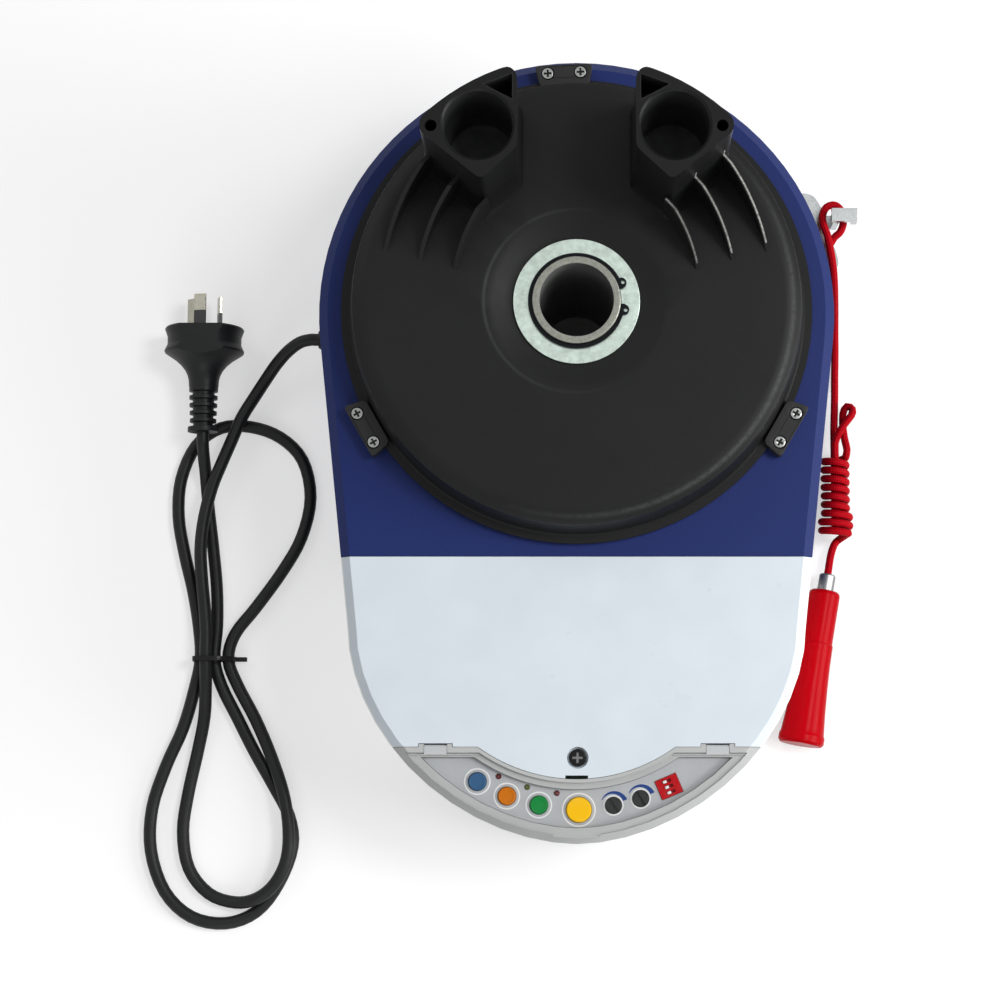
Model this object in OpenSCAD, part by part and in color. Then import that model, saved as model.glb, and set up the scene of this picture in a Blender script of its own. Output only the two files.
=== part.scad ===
// Roller door opener.
// Origin: on the axle's axis, in the plane of the housing's back.
// +Z runs along the axle towards the drive drum, +Y to the round end of the housing.

/* [Housing] */
// Radius of the housing's round end about the axle
top_r = 128; // [120:0.5:150]
// Height of the front face over the back
face_z = 108; // [95:1:125]
// Half width of the housing where its lower end begins
low_half = 112; // [100:0.5:125]
// Distance of that place below the axle
low_drop = 157; // [140:1:175]
// Distance of the lower end below the axle
end_drop = 261.6; // [245:0.2:280]
// Lean of the side walls, degrees
side_lean = 6.5; // [5:0.1:8]
// Width of the folded edge round the front face
fold_w = 4.6; // [3:0.1:6]
// Height of the folded edge
fold_h = 4.5; // [3:0.1:6]
// Thickness of the steel shell
shell_t = 1.6; // [1:0.1:2]
// Distance of the joint between shell and light cover below the axle
joint_drop = 122; // [115:1:135]
// Thickness of the light cover and the fascia
cover_t = 2.4; // [1.8:0.1:3]
// Thickness of the rear plate
plate_t = 2.5; // [2:0.1:4]
// Radius of the holes that fix the rear plate
fix_r = 4.25; // [3:0.05:5]
// Spacing of the fixing holes across
fix_dx = 56; // [48:1:56]
// Spacing of the fixing holes along
fix_dy = 120; // [100:1:140]

/* [Hub] */
// Bore radius of the hub tube
bore_r = 18; // [17:0.1:19]
// Outer radius of the hub tube
tube_r = 21.5; // [21:0.1:23]
// Length of the hub tube
tube_h = 136; // [134:0.5:140]
// Outer radius of the hub washer
washer_r = 30.8; // [28:0.1:31]
// Thickness of the hub washer
washer_t = 1.6; // [1:0.1:2]
// Radius at which the circlip grips the tube
groove_r = 20.3; // [19.8:0.1:20.8]
// Thickness of the circlip
circlip_t = 1.4; // [1:0.1:1.6]
// Outer radius of the circlip
circlip_r = 23.6; // [23:0.1:24.5]

/* [Drive drum] */
// Radius of the drum's front edge
drum_r = 109.4; // [106:0.2:112]
// Radius of the flange at the drum's foot
flange_r = 116.3; // [115:0.1:117]
// Thickness of that flange
flange_t = 3; // [2:0.1:4]
// Height of the drum's face over the housing's face
drum_h = 26; // [24:0.5:30]
// Radius where the dish round the hub begins
dish_r = 45; // [42:0.5:50]
// Thickness of the drum's web
web_t = 4.5; // [4:0.1:5.5]
// Height of the fork sockets over the drum's face
tower_h = 60; // [50:1:65]
// Sideways distance of a fork socket from the axle
sock_x = 46; // [45:0.1:48]
// Distance of a fork socket above the axle
sock_y = 71; // [69:0.1:73]
// Bore radius of a fork socket
sock_r = 16.3; // [15:0.1:17]
// Radius of the locking-screw hole beside it
lock_r = 2.8; // [2:0.1:3.2]
// Distance of that hole from the socket's centre
lock_d = 21.9; // [21.5:0.1:23]
// Reach of the fork socket towers from the axle
tower_reach = 104; // [103:0.5:106]
// Height of the gussets over the drum's face
gusset_h = 26; // [18:0.5:32]
// Thickness of a gusset
gusset_t = 2; // [1.6:0.1:4]

/* [Gear train] */
// Module of the ring gear and the pinion
ring_m = 2; // [2:0.1:2.1]
// Teeth of the ring gear
ring_n = 96; // [96]
// Teeth of the pinion
pinion_n = 12; // [12]
// Module of the worm wheel
worm_m = 1.6; // [1.4:0.1:1.6]
// Teeth of the worm wheel
wheel_n = 30; // [30]
// Pitch radius of the worm
worm_r = 8; // [7.5:0.1:8.4]
// Angle of the pinion's axis about the axle, degrees
pinion_a = 14; // [12:1:15]
// Radius of the motor
motor_r = 29; // [25:0.5:30]
// Length of the motor
motor_l = 80; // [60:1:84]
// Radius of the pinion's shaft
shaft_r = 6; // [5:0.1:6.5]

/* [Control panel] */
// Depth of the control panel below the housing's face
panel_deep = 4.4; // [4:0.1:5]
// Radius of the small buttons
button_r = 4.35; // [4:0.05:4.6]
// Radius of the large button
big_button_r = 6.1; // [5.5:0.1:6.4]
// Travel of the buttons
press = 1; // [0.6:0.1:1]
// Radius of the trim knobs
trim_r = 3.9; // [3.5:0.1:4.2]
// Radius of the indicator lamps
led_r = 1.35; // [1:0.05:1.5]
// Thickness of the clear flap
flap_t = 1.6; // [1.2:0.1:1.8]
// Length of the switch block
dip_l = 11; // [10:0.1:12]
// Width of the switch block
dip_w = 9.6; // [9:0.1:10]

/* [Release] */
// Thickness of the release lever
lever_t = 3; // [2:0.1:3.4]
// Height of the release lever over the back
lever_z = 30; // [29:0.5:31]
// Diameter of the pull rope
rope_d = 4; // [3.4:0.1:4.1]
// Turns of the rope hank
hank_turns = 9; // [9]
// Length of the pull handle
handle_l = 82; // [70:1:90]
// Radius of the pull handle's grip
handle_r = 8.2; // [7:0.1:9]
// Radius of the pull handle's flared end
flare_r = 12; // [10:0.1:12.2]

/* [Mains cord] */
// Diameter of the mains cord
cord_d = 6.6; // [6:0.1:6.8]
// Width of the plug's body
plug_w = 42; // [38:0.5:43]
// Depth of the plug's body
plug_d = 34; // [32:0.5:34]
// Length of the plug's pins
pin_l = 17.5; // [17:0.1:18]

/* [Hidden] */
$fn = 48;
over = 0.5;
// Running clearance of a shaft in its hole, and the gap between other moving pieces
run_gap = 0.06;
gap = 0.3;
slim = 0.2;

// Housing
low_pow = 1.85;
top_n = 46;
low_n = 26;
end_b = end_drop - low_drop;
// Concave arc where the light cover meets the fascia
seam_drop = 215;
seam_sag = 15.5;
seam_half = 48;
seam_r = (pow(seam_half, 2) + pow(seam_sag, 2)) / (2 * seam_sag);
seam_y = -seam_drop - seam_sag + seam_r;
big = 2 * end_drop;
nut_r = 7.5;
nut_h = 6.5;
fix_y = 5;
foot_r = 34;
foot_h = 8;
foot_lip = 2;
gland_y = 2;
gland_z = 22;
gland_r = 6.2;
gland_cap = 8;
gland_len = 8.4;
gland_tail = 12.6;

// Hub and drum heights
drum_z = face_z + drum_h;
seat_z = drum_z - 3.6 * web_t / 4.5;
washer_z = seat_z + slim / 2;
circlip_z = washer_z + washer_t + slim;
tube_end = max(tube_h, circlip_z + circlip_t + 2 * slim);
foot_z = face_z + 1.3;
bush_t = 3.5;
bush_r = tube_r + bush_t;
boss_t = 8;
boss_r = bush_r + boss_t;
rim_in = ring_m * ring_n / 2 + 8.5;
ring_out = rim_in - run_gap;
crown = 8.4;
crown_shares = [0.25, 0.5, 0.75, 0.9, 0.97];
crown_drop = 2.2;
crown_edge = 0.7;
rim_foot = drum_r + 2.4;
hub_lip = bush_r + 5;

// Sockets and towers, in shares of the socket's bore
tower_shares = [[-1.12, 1.5], [-1.12, -0.66], [-0.09, -1.61], [1.67, -0.2]];
pocket_shares = [[-0.15, 1.18], [-0.98, 1.49], [-0.98, 0.74]];
corner_r = 3;
skirt = 2.6;
flare = 3.4;
skirt_levels = [[0.2, 1], [3.5, 0.5], [13, 0]];
sock_floor = drum_z - web_t / 4;
lock_deep = 30;
gusset_shares = [0.925, 0.757, 0.588];
gusset_a0 = 14.4;
gusset_a1 = 46;
gusset_reach = 25.4;

// Rim clips
clip_angles = [93, 210, 330];
clip_in = 112.4;
clip_out = 123.6;
clip_l = 29;
clip_h = 7.8;
clip_round = 2.4;
clip_gap = 0.4;
screw_mid = 119.4;
screw_pitch = 16.3;
screw_r = 2.7;
screw_hole = 3.2;
shank_r = 1.5;
screw_deep = 1.4;
screw_head = 1.6;
cross_r = 1.9;

// Gear train
gear_b = 10;
gear_z = foot_z + 3.5;
back = 0.7;
tip_share = 0.7;
pinion_d = ring_m * (ring_n - pinion_n) / 2;
pinion_x = pinion_d * cos(pinion_a);
pinion_y = pinion_d * sin(pinion_a);
wheel_r = worm_m * wheel_n / 2;
worm_x = pinion_x - wheel_r - worm_r;
wheel_z = 34;
wheel_b = 12;
worm_z = wheel_z + wheel_b / 2;
dog_h = 3;
dog_in = 8;
dog_out = 13;
collar_r = 13;
collar_rim = 18;
neck_t = 2.2;
collar_z = wheel_z + wheel_b + gap;
lift = 4;
case_t = 3;
case_z = plate_t;
case_floor = 5;
case_top = worm_z + worm_r + worm_m + 2 * gap;
case_x0 = worm_x - worm_r - worm_m - 1.2 - case_t;
case_x1 = pinion_x + wheel_r + worm_m + 1.2 + case_t;
case_y0 = pinion_y - wheel_r - worm_m - 1.2 - case_t;
case_y1 = pinion_y + wheel_r + worm_m + 1.2 + case_t;
lid_hole = collar_r + 2.5;
arm_z = case_top + 2 * case_t;
arm_t = 3;
rim_z = arm_z + arm_t + 2 * gap;
collar_h = rim_z + case_t - collar_z;
snout_r = 12;
motor_y1 = -36;
worm_shaft_r = 3.5;
// The worm's thread: turns, steps a turn, and its outline as [angle, share of its depth]
worm_turns = 6;
worm_steps = 10;
thread_shares = [[0, 1], [22, 1], [45, 0.75], [68, 0.51], [91, 0.26], [115, 0], [137, 0], [158, 0], [180, 0]];
tooth_h = 6;
motor_foot_share = 0.4;
bearing_r = shaft_r + 3.2;
bearing_h = 9;
bearing_lip = 2.4;

// Control panel
panel_z = face_z - panel_deep;
label_t = 1.2;
floor_t = 2.4;
floor_z = panel_z - label_t - floor_t;
board_z = floor_z - 6;
board_t = 1.6;
panel_in = 7.6;
panel_half = 76;
panel_drop = 219.8;
wall_t = 1.8;
rim_in_w = 3.6;
flap_half = 84.5;
flap_drop = 218;
flap_seam = 2;
seat_h = flap_t + slim;
hinge_y = -seam_drop - 0.4;
hinge_x = 68.4;
hinge_w = 11;
knuckle_r = 1.6;
hinge_z = face_z - knuckle_r;
pin_r = 0.9;
pin_len = 2;
ear_t = 2.4;
ear_h = 5;
ear_y = 3.9;
flap_room = 0.35;
latch_w = 22.6;
latch_l = 3.4;
latch_drop = 260.4;
bump_r = 1.1;
buttons = [[-48.2, -231.5], [-33.8, -238.5], [-18.3, -242.8], [1.1, -245.1]];
leds = [[-37.9, -229], [-24, -234.2], [-9.6, -237.1]];
trims = [[17.9, -243], [31.1, -239.7]];
dip_c = [44.8, -233.9];
dip_a = 23;
dip_z = panel_z + 0.6;
slider_pitch = 2.8;
slider_l = 1.8;
slider_w = 1.3;
slider_h = 3;
slider_run = 2;
slot_deep = 2.4;
button_top = panel_z + 1.3;
button_z = board_z + 2.8;
button_lip = 1.1;
button_lip_h = floor_z - gap - button_z;
cup = 0.5;
switch_w = 6;
switch_h = 1.6;
knob_z = board_z + switch_h + gap;
knob_top = panel_z + 0.8;
knob_slot = 1.1;
led_top = panel_z + 0.7;
led_lip = 0.5;
boss_x = 62;
boss_y = -226;
boss_peg = 2.5;
vent_w = 11;
vent_l = 1.6;
screw_x = 0.5;
screw_y = -220.1;
well_r = 7;
well_h = 8;
cup_r = 5.2;
cup_deep = 3;
head_r = 4.4;
head_h = 1.8;
long_r = 2;
pillar_r = 4.5;
cross_l = 5;
cross_w = 1.1;
cross_h = 0.8;

// Release lever and its shaft
pivot = [90, 66];
pivot_r = 4;
lever_in = [[119, 79], [100, 74], [82, 74], [82, 58], [113.4, 59.2]];
lever_out = [[122, 43], [133, 35.4], [137.4, 37], [138.2, 42], [136.4, 48], [132.5, 57], [132, 66],
    [125.5, 77.5]];
// Shift of what lies outside the housing's side wall, from the radius it was drawn for
drawn_r = 128;
out_x = [top_r - drawn_r, 0, 0];
hook_x = 134 + out_x[0];
hook_w = 7;
hook_y = 63;
hook_l = 12.4;
hook_h = 17;
hook_lip = 8;
lever_swing = 12;
slot_a0 = 10;
slot_a1 = 38;
arm_w = 8;

// Inside
core = [[-104, -122], [58, 46, 50]];
coil_in = 8;
coil_out = 7;
lamp_x = 45;
lamp_y = -160;
lamp_z = 62;
lamp_r = 11;
lamp_neck = 7;
lamp_base = 14;
strip_w = 20;
strip_t = 2;
relay = [19, 15, 10];
relays = [[-40, -200], [-62, -200], [34, -200]];

// Pull rope, from its end at the hook to the hank
knot = [[133.6, 50.6, 36.6], [135.4, 53.6, 37.6], [138.6, 56.6, 38.4], [140.2, 61.8, 38.6],
    [139.4, 67.2, 38.6], [136, 70.6, 38.8], [131.6, 69.6, 39.6], [129.1, 65, 41], [129.3, 59.6, 42.4],
    [131.2, 54, 42.4], [133.1, 46.6, 39.6], [134.5, 38.8, 37.4], [135.4, 31.4, 34.2], [136.6, 23, 24],
    [137.7, 15, 12.6], [138.3, 7, 5.6], [138.5, -3, 3], [138.2, -15, 3], [137.8, -27, 5],
    [137.2, -38, 7.2], [137, -44, 7.2]];
rope_n = 3;
hank_x = 137;
wrap_x = hank_x + out_x[0];
wrap_z = 9.8;
core_dz = 2.5;
wrap_a = 5.8;
wrap_b = 7.1;
wrap_y0 = -59;
wrap_pitch = 4.6;
wrap_wide = 1.6;
turn_n = 24;
bight = [[137, -52, 12.4], [138.8, -47, 13.8], [142.2, -41.6, 13.8], [145.8, -37, 12.8],
    [146.6, -33.4, 11], [143.8, -31.6, 9.4], [141.8, -35.6, 8.2], [141.8, -43, 7.8], [142.6, -50, 9],
    [143.4, -55.2, 11.4]];
tail = [[139.2, -102.4, 4.6], [136.4, -105.4, 6.6], [134.4, -111, 8.4], [133.3, -117, 8.4],
    [132.6, -121.4, 8.4]];
ferrule_a = 10;
ferrule_r = 4.3;
ferrule_h = 9;
ferrule_at = [132.6, -121.4, 8.4] + out_x;
hank_top = -44;
hank_back = -52;
hank_end = 5.2;
hank_rise = 0.1;
handle_tip = -2.7;
step_at = 28;

// Mains cord, from the gland through the hank's loops to the plug
cord_start = [[-136.4, 2, 22], [-138.6, 2, 22], [-140.8, 2, 22], [-146.4, 0.7, 21.2], [-152.8, -3.4, 18.8],
    [-159.2, -9.8, 15.6], [-165.4, -18, 12.4], [-172, -28, 10.9], [-178, -38, 10.9], [-183, -50, 10.9],
    [-188, -62, 10.9],
    [-193, -75, 10.9], [-197, -92, 10.9], [-198.5, -108, 10.9], [-197.5, -124, 10.9],
    [-195.6, -140, 11.6], [-194.6, -152, 12]];
cord_loops = [[-194.6, -152, 12], [-194.6, -166, 12], [-194.6, -180, 10.2],
    [-195.6, -196, 5.4], [-199, -214, 3.5], [-203.6, -236, 3.5], [-206, -256, 3.5],
    [-202.6, -275, 3.5], [-192, -288, 3.5], [-178, -292.6, 5], [-166, -290.4, 9],
    [-156.6, -282.6, 11], [-150.8, -270, 11], [-150, -254, 11], [-153, -236, 10.8],
    [-160.2, -216.6, 6.6], [-169, -197.5, 3.6], [-178.6, -179.7, 4.2], [-183.7, -166, 4.6],
    [-180.4, -152.6, 4.2], [-169.6, -138.4, 3.5], [-155.8, -119, 3.5], [-146, -101, 3.5],
    [-141.6, -80, 3.5], [-146, -60, 3.5], [-158, -47.6, 3.5], [-174, -41.8, 3.5],
    [-190, -42.4, 3.5], [-203, -52, 3.5], [-210.6, -70, 3.5], [-211.6, -90, 3.5],
    [-208, -110, 3.5], [-203, -130, 3.5], [-199.4, -150, 4.2], [-198.3, -166, 4.6],
    [-201.4, -182, 4], [-207, -202, 3.5], [-215.6, -222, 3.5], [-222.4, -244, 3.5],
    [-222.6, -266, 3.5], [-215, -287, 3.5], [-201, -300, 3.5], [-183, -303.4, 3.5],
    [-167, -297.4, 3.5], [-155.6, -283, 3.5], [-148.6, -264, 3.5], [-150.6, -248, 3.5],
    [-158.9, -232.3, 3.5], [-169.3, -214.4, 3.5], [-178.7, -196.4, 3.5], [-187, -180.2, 4.2],
    [-191, -166, 4.6], [-190, -148, 4], [-190.6, -128, 3.5], [-193, -106, 3.5],
    [-195.4, -88, 3.5], [-196.8, -75, 3.9], [-197.3, -66, 7], [-197.5, -59, 12.6],
    [-197.5, -53, 16.8], [-197.5, -46.6, 17.4]];
cord_n = 2;
cord_tight = 3;
plug_x = -197.5;
plug_z = 17.4;
plug_y1 = 8.8;
plug_y2 = -4.6;
neck_y = -22;
neck_r = 7.8;
relief_y = -46.6;
relief_r = 6.4;
waist = 1.6;
rib_n = 5;
pin_w = 6.3;
pin_t = 1.6;
pin_d = 7.92;
earth_d = 10.3;
sleeve_l = 8.6;
plug_turn = 11;
tie_y = -166;
tie_x = -191;
tie_w = 2.4;
tie_tail = 5;
tie_half = 12.1;
tie_r = 0.7;
tie_top = 16.8;

// Outline of the housing, drawn in by d
function outline(d) = concat(
    [for (i = [0:top_n]) let (a = -side_lean + (180 + 2 * side_lean) * i / top_n)
        (top_r - d) * [cos(a), sin(a)]],
    [for (i = [0:low_n]) let (a = 180 + 180 * i / low_n, c = cos(a), s = sin(a))
        [(low_half - d) * sign(c) * pow(abs(c), 2 / low_pow),
         -low_drop + (end_b - d) * sign(s) * pow(abs(s), 2 / low_pow)]]);

// Corners rounded over a length r, with n steps each
function rounded(p, r, n = 3) = [for (i = [0:len(p) - 1])
    let (v = p[i], a = p[(i + len(p) - 1) % len(p)], b = p[(i + 1) % len(p)],
        ra = min(r, norm(a - v) / 2.2), rb = min(r, norm(b - v) / 2.2),
        s = v + ra * (a - v) / norm(a - v), e = v + rb * (b - v) / norm(b - v),
        m = unit(a - v) * unit(b - v) < -0.95 ? 0 : n)
    for (k = [0:m]) let (t = m == 0 ? 0.5 : k / m)
        m == 0 ? v : (1 - t) * (1 - t) * s + 2 * t * (1 - t) * v + t * t * e];

// Gear outline: n teeth, pitch radius r, tip and root radii, tooth thickness w at the pitch
function teeth(n, r, tip, root, w) = [for (i = [0:n - 1])
    let (a = 360 * i / n, k = tan(20),
        ht = (w / 2 - (tip - r) * k) / tip * 180 / PI,
        hr = (w / 2 + (r - root) * k) / root * 180 / PI)
    for (q = [[root, -hr], [tip, -ht], [tip, ht], [root, hr]])
        q[0] * [cos(a + q[1]), sin(a + q[1])]];

// Smooth path through points, k steps a span
function spline(p, k) = concat([for (i = [0:len(p) - 2])
    let (a = p[max(i - 1, 0)], b = p[i], c = p[i + 1], d = p[min(i + 2, len(p) - 1)])
    for (j = [0:k - 1]) let (t = j / k)
        b + t * (c - a) / 2 + t * t * (a - 2.5 * b + 2 * c - d / 2)
        + t * t * t * (1.5 * (b - c) + (d - a) / 2)], [p[len(p) - 1]]);
function unit(v) = v / norm(v);
function tangent(p, i) = unit(p[min(i + 1, len(p) - 1)] - p[max(i - 1, 0)]);
function across(n, t) = unit(n - (n * t) * t);
function length_of(p) = len(p) < 2 ? 0 : [for (i = 1, s = norm(p[1] - p[0]); i < len(p);
    i = i + 1, s = s + (i < len(p) ? norm(p[i] - p[i - 1]) : 0)) s][len(p) - 2];
// Least distance between points of a path more than skip apart, less its diameter
function self_gap(p, skip, d) = min([for (i = [0:len(p) - 1 - skip])
    min([for (j = [i + skip:len(p) - 1]) norm(p[i] - p[j])])]) - d;
function gap_of(p, q, d) = min([for (a = p) min([for (b = q) norm(a - b)])]) - d;

// Round tube swept along a path
module sweep(p, r, sides) {
    n = len(p);
    t = [for (i = [0:n - 1]) tangent(p, i)];
    start = across(abs(t[0][2]) < 0.9 ? [0, 0, 1] : [1, 0, 0], t[0]);
    u = [for (i = 0, v = start; i < n;
        i = i + 1, v = i < n ? across(v, t[i]) : v) v];
    pts = [for (i = [0:n - 1]) for (k = [0:sides - 1])
        let (a = 360 * k / sides) p[i] + r * (cos(a) * u[i] + sin(a) * cross(t[i], u[i]))];
    faces = concat(
        [[for (k = [sides - 1:-1:0]) k]],
        [[for (k = [0:sides - 1]) (n - 1) * sides + k]],
        [for (i = [0:n - 2]) for (k = [0:sides - 1]) let (m = (k + 1) % sides)
            for (f = [[i * sides + k, i * sides + m, (i + 1) * sides + m],
                [i * sides + k, (i + 1) * sides + m, (i + 1) * sides + k]]) f]);
    polyhedron(points = pts, faces = [for (f = faces) [for (k = [len(f) - 1:-1:0]) f[k]]]);
}

// Solid whose outline changes with height; levels are [height, drawn in by]
module loft(levels) {
    n = len(outline(0));
    m = len(levels);
    pts = [for (l = levels) for (q = outline(l[1])) [q[0], q[1], l[0]]];
    sides = [for (j = [0:m - 2]) for (i = [0:n - 1]) let (k = (i + 1) % n)
        for (f = [[j * n + i, (j + 1) * n + k, j * n + k],
            [j * n + i, (j + 1) * n + i, (j + 1) * n + k]]) f];
    polyhedron(points = pts, faces = concat([[for (i = [0:n - 1]) i]],
        [[for (i = [n - 1:-1:0]) (m - 1) * n + i]], sides));
}

// Hollow front housing, open at the back, of wall t
module hood(t) {
    difference() {
        loft([[0, 0], [face_z - fold_h, 0], [face_z, fold_w]]);
        loft([[-over, t], [face_z - fold_h - t / 3, t], [face_z - t, fold_w + 2 * t / 3]]);
    }
}

module prism(p, z0, z1) {
    translate([0, 0, z0]) linear_extrude(height = z1 - z0) polygon(p);
}

module ring(r0, r1, z0, z1) {
    rotate_extrude() polygon([[r0, z0], [r1, z0], [r1, z1], [r0, z1]]);
}

// Space above the seam, where the light cover is
module above_seam(g) {
    translate([-big / 2, -seam_drop + g, -over]) cube([big, big, face_z + 2 * over]);
    translate([0, seam_y, -over]) cylinder(r = seam_r - g, h = face_z + 2 * over, $fn = 96);
}

module box(x, y, z0, z1) {
    translate([-x / 2, -y / 2, z0]) cube([x, y, z1 - z0]);
}

module side_box(x0, x1, y0, y1, z0, z1) {
    translate([x0, y0, z0]) cube([x1 - x0, y1 - y0, z1 - z0]);
}

// Housing pieces
module rear_plate() {
    color("silver") difference() {
        union() {
            plate_part(shell_t + slim, -joint_drop, top_r);
            plate_part(cover_t + slim, -end_drop, -joint_drop + over);
        }
        translate([0, 0, -over]) cylinder(r = tube_r + slim / 10, h = plate_t + 2 * over);
        fixings() translate([0, 0, -over]) cylinder(r = fix_r, h = plate_t + 2 * over);
    }
}

module plate_part(d, y0, y1) {
    intersection() {
        prism(outline(d), 0, plate_t);
        side_box(-big / 2, big / 2, y0, y1, 0, plate_t);
    }
}

module fixings() {
    for (x = [-1, 1]) for (y = [-1, 1])
        translate([x * fix_dx / 2, fix_y + y * fix_dy / 2, 0]) children();
}

module weld_nuts() {
    color("gray") fixings() translate([0, 0, plate_t]) difference() {
        cylinder(r = nut_r, h = nut_h, $fn = 6);
        translate([0, 0, -over]) cylinder(r = fix_r, h = nut_h + 2 * over);
    }
}

module hub_flange() {
    color("gray") rotate_extrude() polygon([[tube_r + slim / 10, plate_t], [foot_r, plate_t],
        [foot_r, plate_t + foot_h / 2], [tube_r + foot_lip, plate_t + foot_h],
        [tube_r + slim / 10, plate_t + foot_h]]);
}

module hub_tube() {
    color("darkgray") rotate_extrude() polygon([[bore_r, 0], [tube_r, 0],
        [tube_r, circlip_z], [groove_r, circlip_z], [groove_r, circlip_z + circlip_t],
        [tube_r, circlip_z + circlip_t], [tube_r, tube_end - slim], [tube_r - slim, tube_end],
        [bore_r, tube_end]]);
}

module hub_washer() {
    color("lightsteelblue") ring(tube_r + slim, washer_r, washer_z, washer_z + washer_t);
}

module circlip() {
    ear = 2.6;
    ear_at = circlip_r - 0.2;
    eye = 0.9;
    color("dimgray") translate([0, 0, circlip_z + run_gap])
    linear_extrude(height = circlip_t - 2 * run_gap) difference() {
        union() {
            circle(r = circlip_r);
            for (a = [-11, 22]) rotate([0, 0, a]) translate([ear_at, 0]) circle(r = ear);
        }
        circle(r = groove_r + run_gap);
        polygon([[0, 0], [big, -big * tan(4)], [big, big * tan(15)]]);
        for (a = [-11, 22]) rotate([0, 0, a]) translate([ear_at + eye, 0]) circle(r = eye);
    }
}

module steel_shell() {
    color("midnightblue") difference() {
        intersection() {
            hood(shell_t);
            translate([-big / 2, -joint_drop, -over]) cube([big, big, face_z + 2 * over]);
        }
        translate([0, 0, face_z - shell_t - over])
            cylinder(r = tube_r + gap, h = shell_t + 2 * over);
        translate([pinion_x, pinion_y, face_z - shell_t - over])
            cylinder(r = bearing_r + slim / 10, h = shell_t + 2 * over);
        clip_holes(shank_r + run_gap, face_z - shell_t - over, face_z + over);
        translate([-top_r, gland_y, gland_z]) rotate([0, 90, 0])
            cylinder(r = gland_r + run_gap, h = 4 * gland_cap, center = true);
        rotate([0, 0, slot_a0]) rotate_extrude(angle = slot_a1 - slot_a0)
            polygon([[top_r - 3 * fold_w, lever_z - 1], [top_r + fold_w, lever_z - 1],
                [top_r + fold_w, lever_z + lever_t + 1], [top_r - 3 * fold_w, lever_z + lever_t + 1]]);
    }
}

module light_cover() {
    color("whitesmoke") difference() {
        union() {
            intersection() {
                hood(cover_t);
                above_seam(slim);
                translate([-big / 2, -big - joint_drop - slim, -over])
                    cube([big, big, face_z + 2 * over]);
            }
            translate([screw_x, screw_y, face_z - well_h])
                cylinder(r = well_r, h = well_h - cover_t / 2);
        }
        translate([screw_x, screw_y, face_z - cup_deep]) cylinder(r = cup_r, h = cup_deep + over);
        translate([screw_x, screw_y, face_z - well_h - over])
            cylinder(r = long_r + slim, h = well_h + over);
        for (s = [-1, 1]) translate([s * hinge_x, hinge_y, 0])
            box(hinge_w + 2 * ear_t + 3 * gap, ear_y + 2 * gap, hinge_z - ear_h, face_z + over);
        translate([0, -seam_drop - seam_sag + vent_l / 2, 0])
            box(vent_w, vent_l + over, face_z - cover_t - over, face_z + over);
    }
}

module cover_screw() {
    color("dimgray") translate([screw_x, screw_y, 0]) difference() {
        union() {
            translate([0, 0, face_z - cup_deep]) cylinder(r1 = head_r, r2 = head_r - slim, h = head_h);
            translate([0, 0, face_z - 3 * well_h]) cylinder(r = long_r, h = 3 * well_h - cup_deep);
        }
        translate([0, 0, face_z - cup_deep + head_h - cross_h]) {
            box(cross_l, cross_w, 0, cross_h + over);
            box(cross_w, cross_l, 0, cross_h + over);
        }
    }
}

module cover_pillar() {
    color("silver") translate([screw_x, screw_y, 0]) difference() {
        translate([0, 0, plate_t]) cylinder(r = pillar_r, h = face_z - well_h - plate_t);
        translate([0, 0, face_z - 3 * well_h - over])
            cylinder(r = long_r + run_gap, h = 2 * well_h + 2 * over);
    }
}

// Space of the recess for the controls, grown by g
module panel_space(z0, z1, g) {
    difference() {
        intersection() {
            prism(outline(panel_in - g), z0, z1);
            translate([-panel_half - g, -big, z0])
                cube([2 * (panel_half + g), big - panel_drop + g, z1 - z0]);
        }
        translate([0, seam_y, z0 - over])
            cylinder(r = seam_r + panel_drop - seam_drop - g, h = z1 - z0 + 2 * over, $fn = 96);
    }
}

// Space of the flap, drawn in by g, and by h along its hinge side
module flap_space(z0, z1, g, h) {
    difference() {
        intersection() {
            prism(outline(rim_in_w + g), z0, z1);
            translate([-flap_half + g, -big, z0])
                cube([2 * (flap_half - g), big - flap_drop - h, z1 - z0]);
        }
        translate([0, seam_y, z0 - over])
            cylinder(r = seam_r + flap_seam + h, h = z1 - z0 + 2 * over, $fn = 96);
    }
    translate([0, -latch_drop + latch_l / 2 + g / 2, 0])
        box(latch_w - 2 * g, latch_l - g, z0, z1);
}

module fascia_frame() {
    color("gainsboro") difference() {
        union() {
            difference() {
                hood(cover_t);
                above_seam(0);
                flap_space(face_z - seat_h, face_z + over, 0, -flap_room);
            }
            panel_space(floor_z, face_z - seat_h, wall_t);
            for (s = [-1, 1]) {
                translate([s * boss_x, boss_y, board_z]) cylinder(r = boss_peg, h = floor_z - board_z);
                for (e = [-1, 1])
                    translate([s * hinge_x + e * (hinge_w / 2 + slim + ear_t / 2), hinge_y, 0])
                        box(ear_t, ear_y, face_z - ear_h, face_z);
            }
        }
        panel_space(panel_z - label_t, face_z + over, 0);
        panel_holes(floor_z - over, face_z);
        for (s = [-1, 1]) translate([s * hinge_x, hinge_y, 0]) {
            side_box(-hinge_w / 2 - slim, hinge_w / 2 + slim, -flap_drop - hinge_y - slim,
                ear_y / 2 + slim, face_z - ear_h, face_z + over);
            translate([0, 0, hinge_z]) rotate([0, 90, 0])
                cylinder(r = pin_r + run_gap, h = hinge_w + 2 * pin_len + 2 * gap, center = true, $fn = 24);
        }
        translate([screw_x, screw_y, floor_z - 2 * over])
            cylinder(r = well_r + slim, h = face_z);
    }
}

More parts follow.
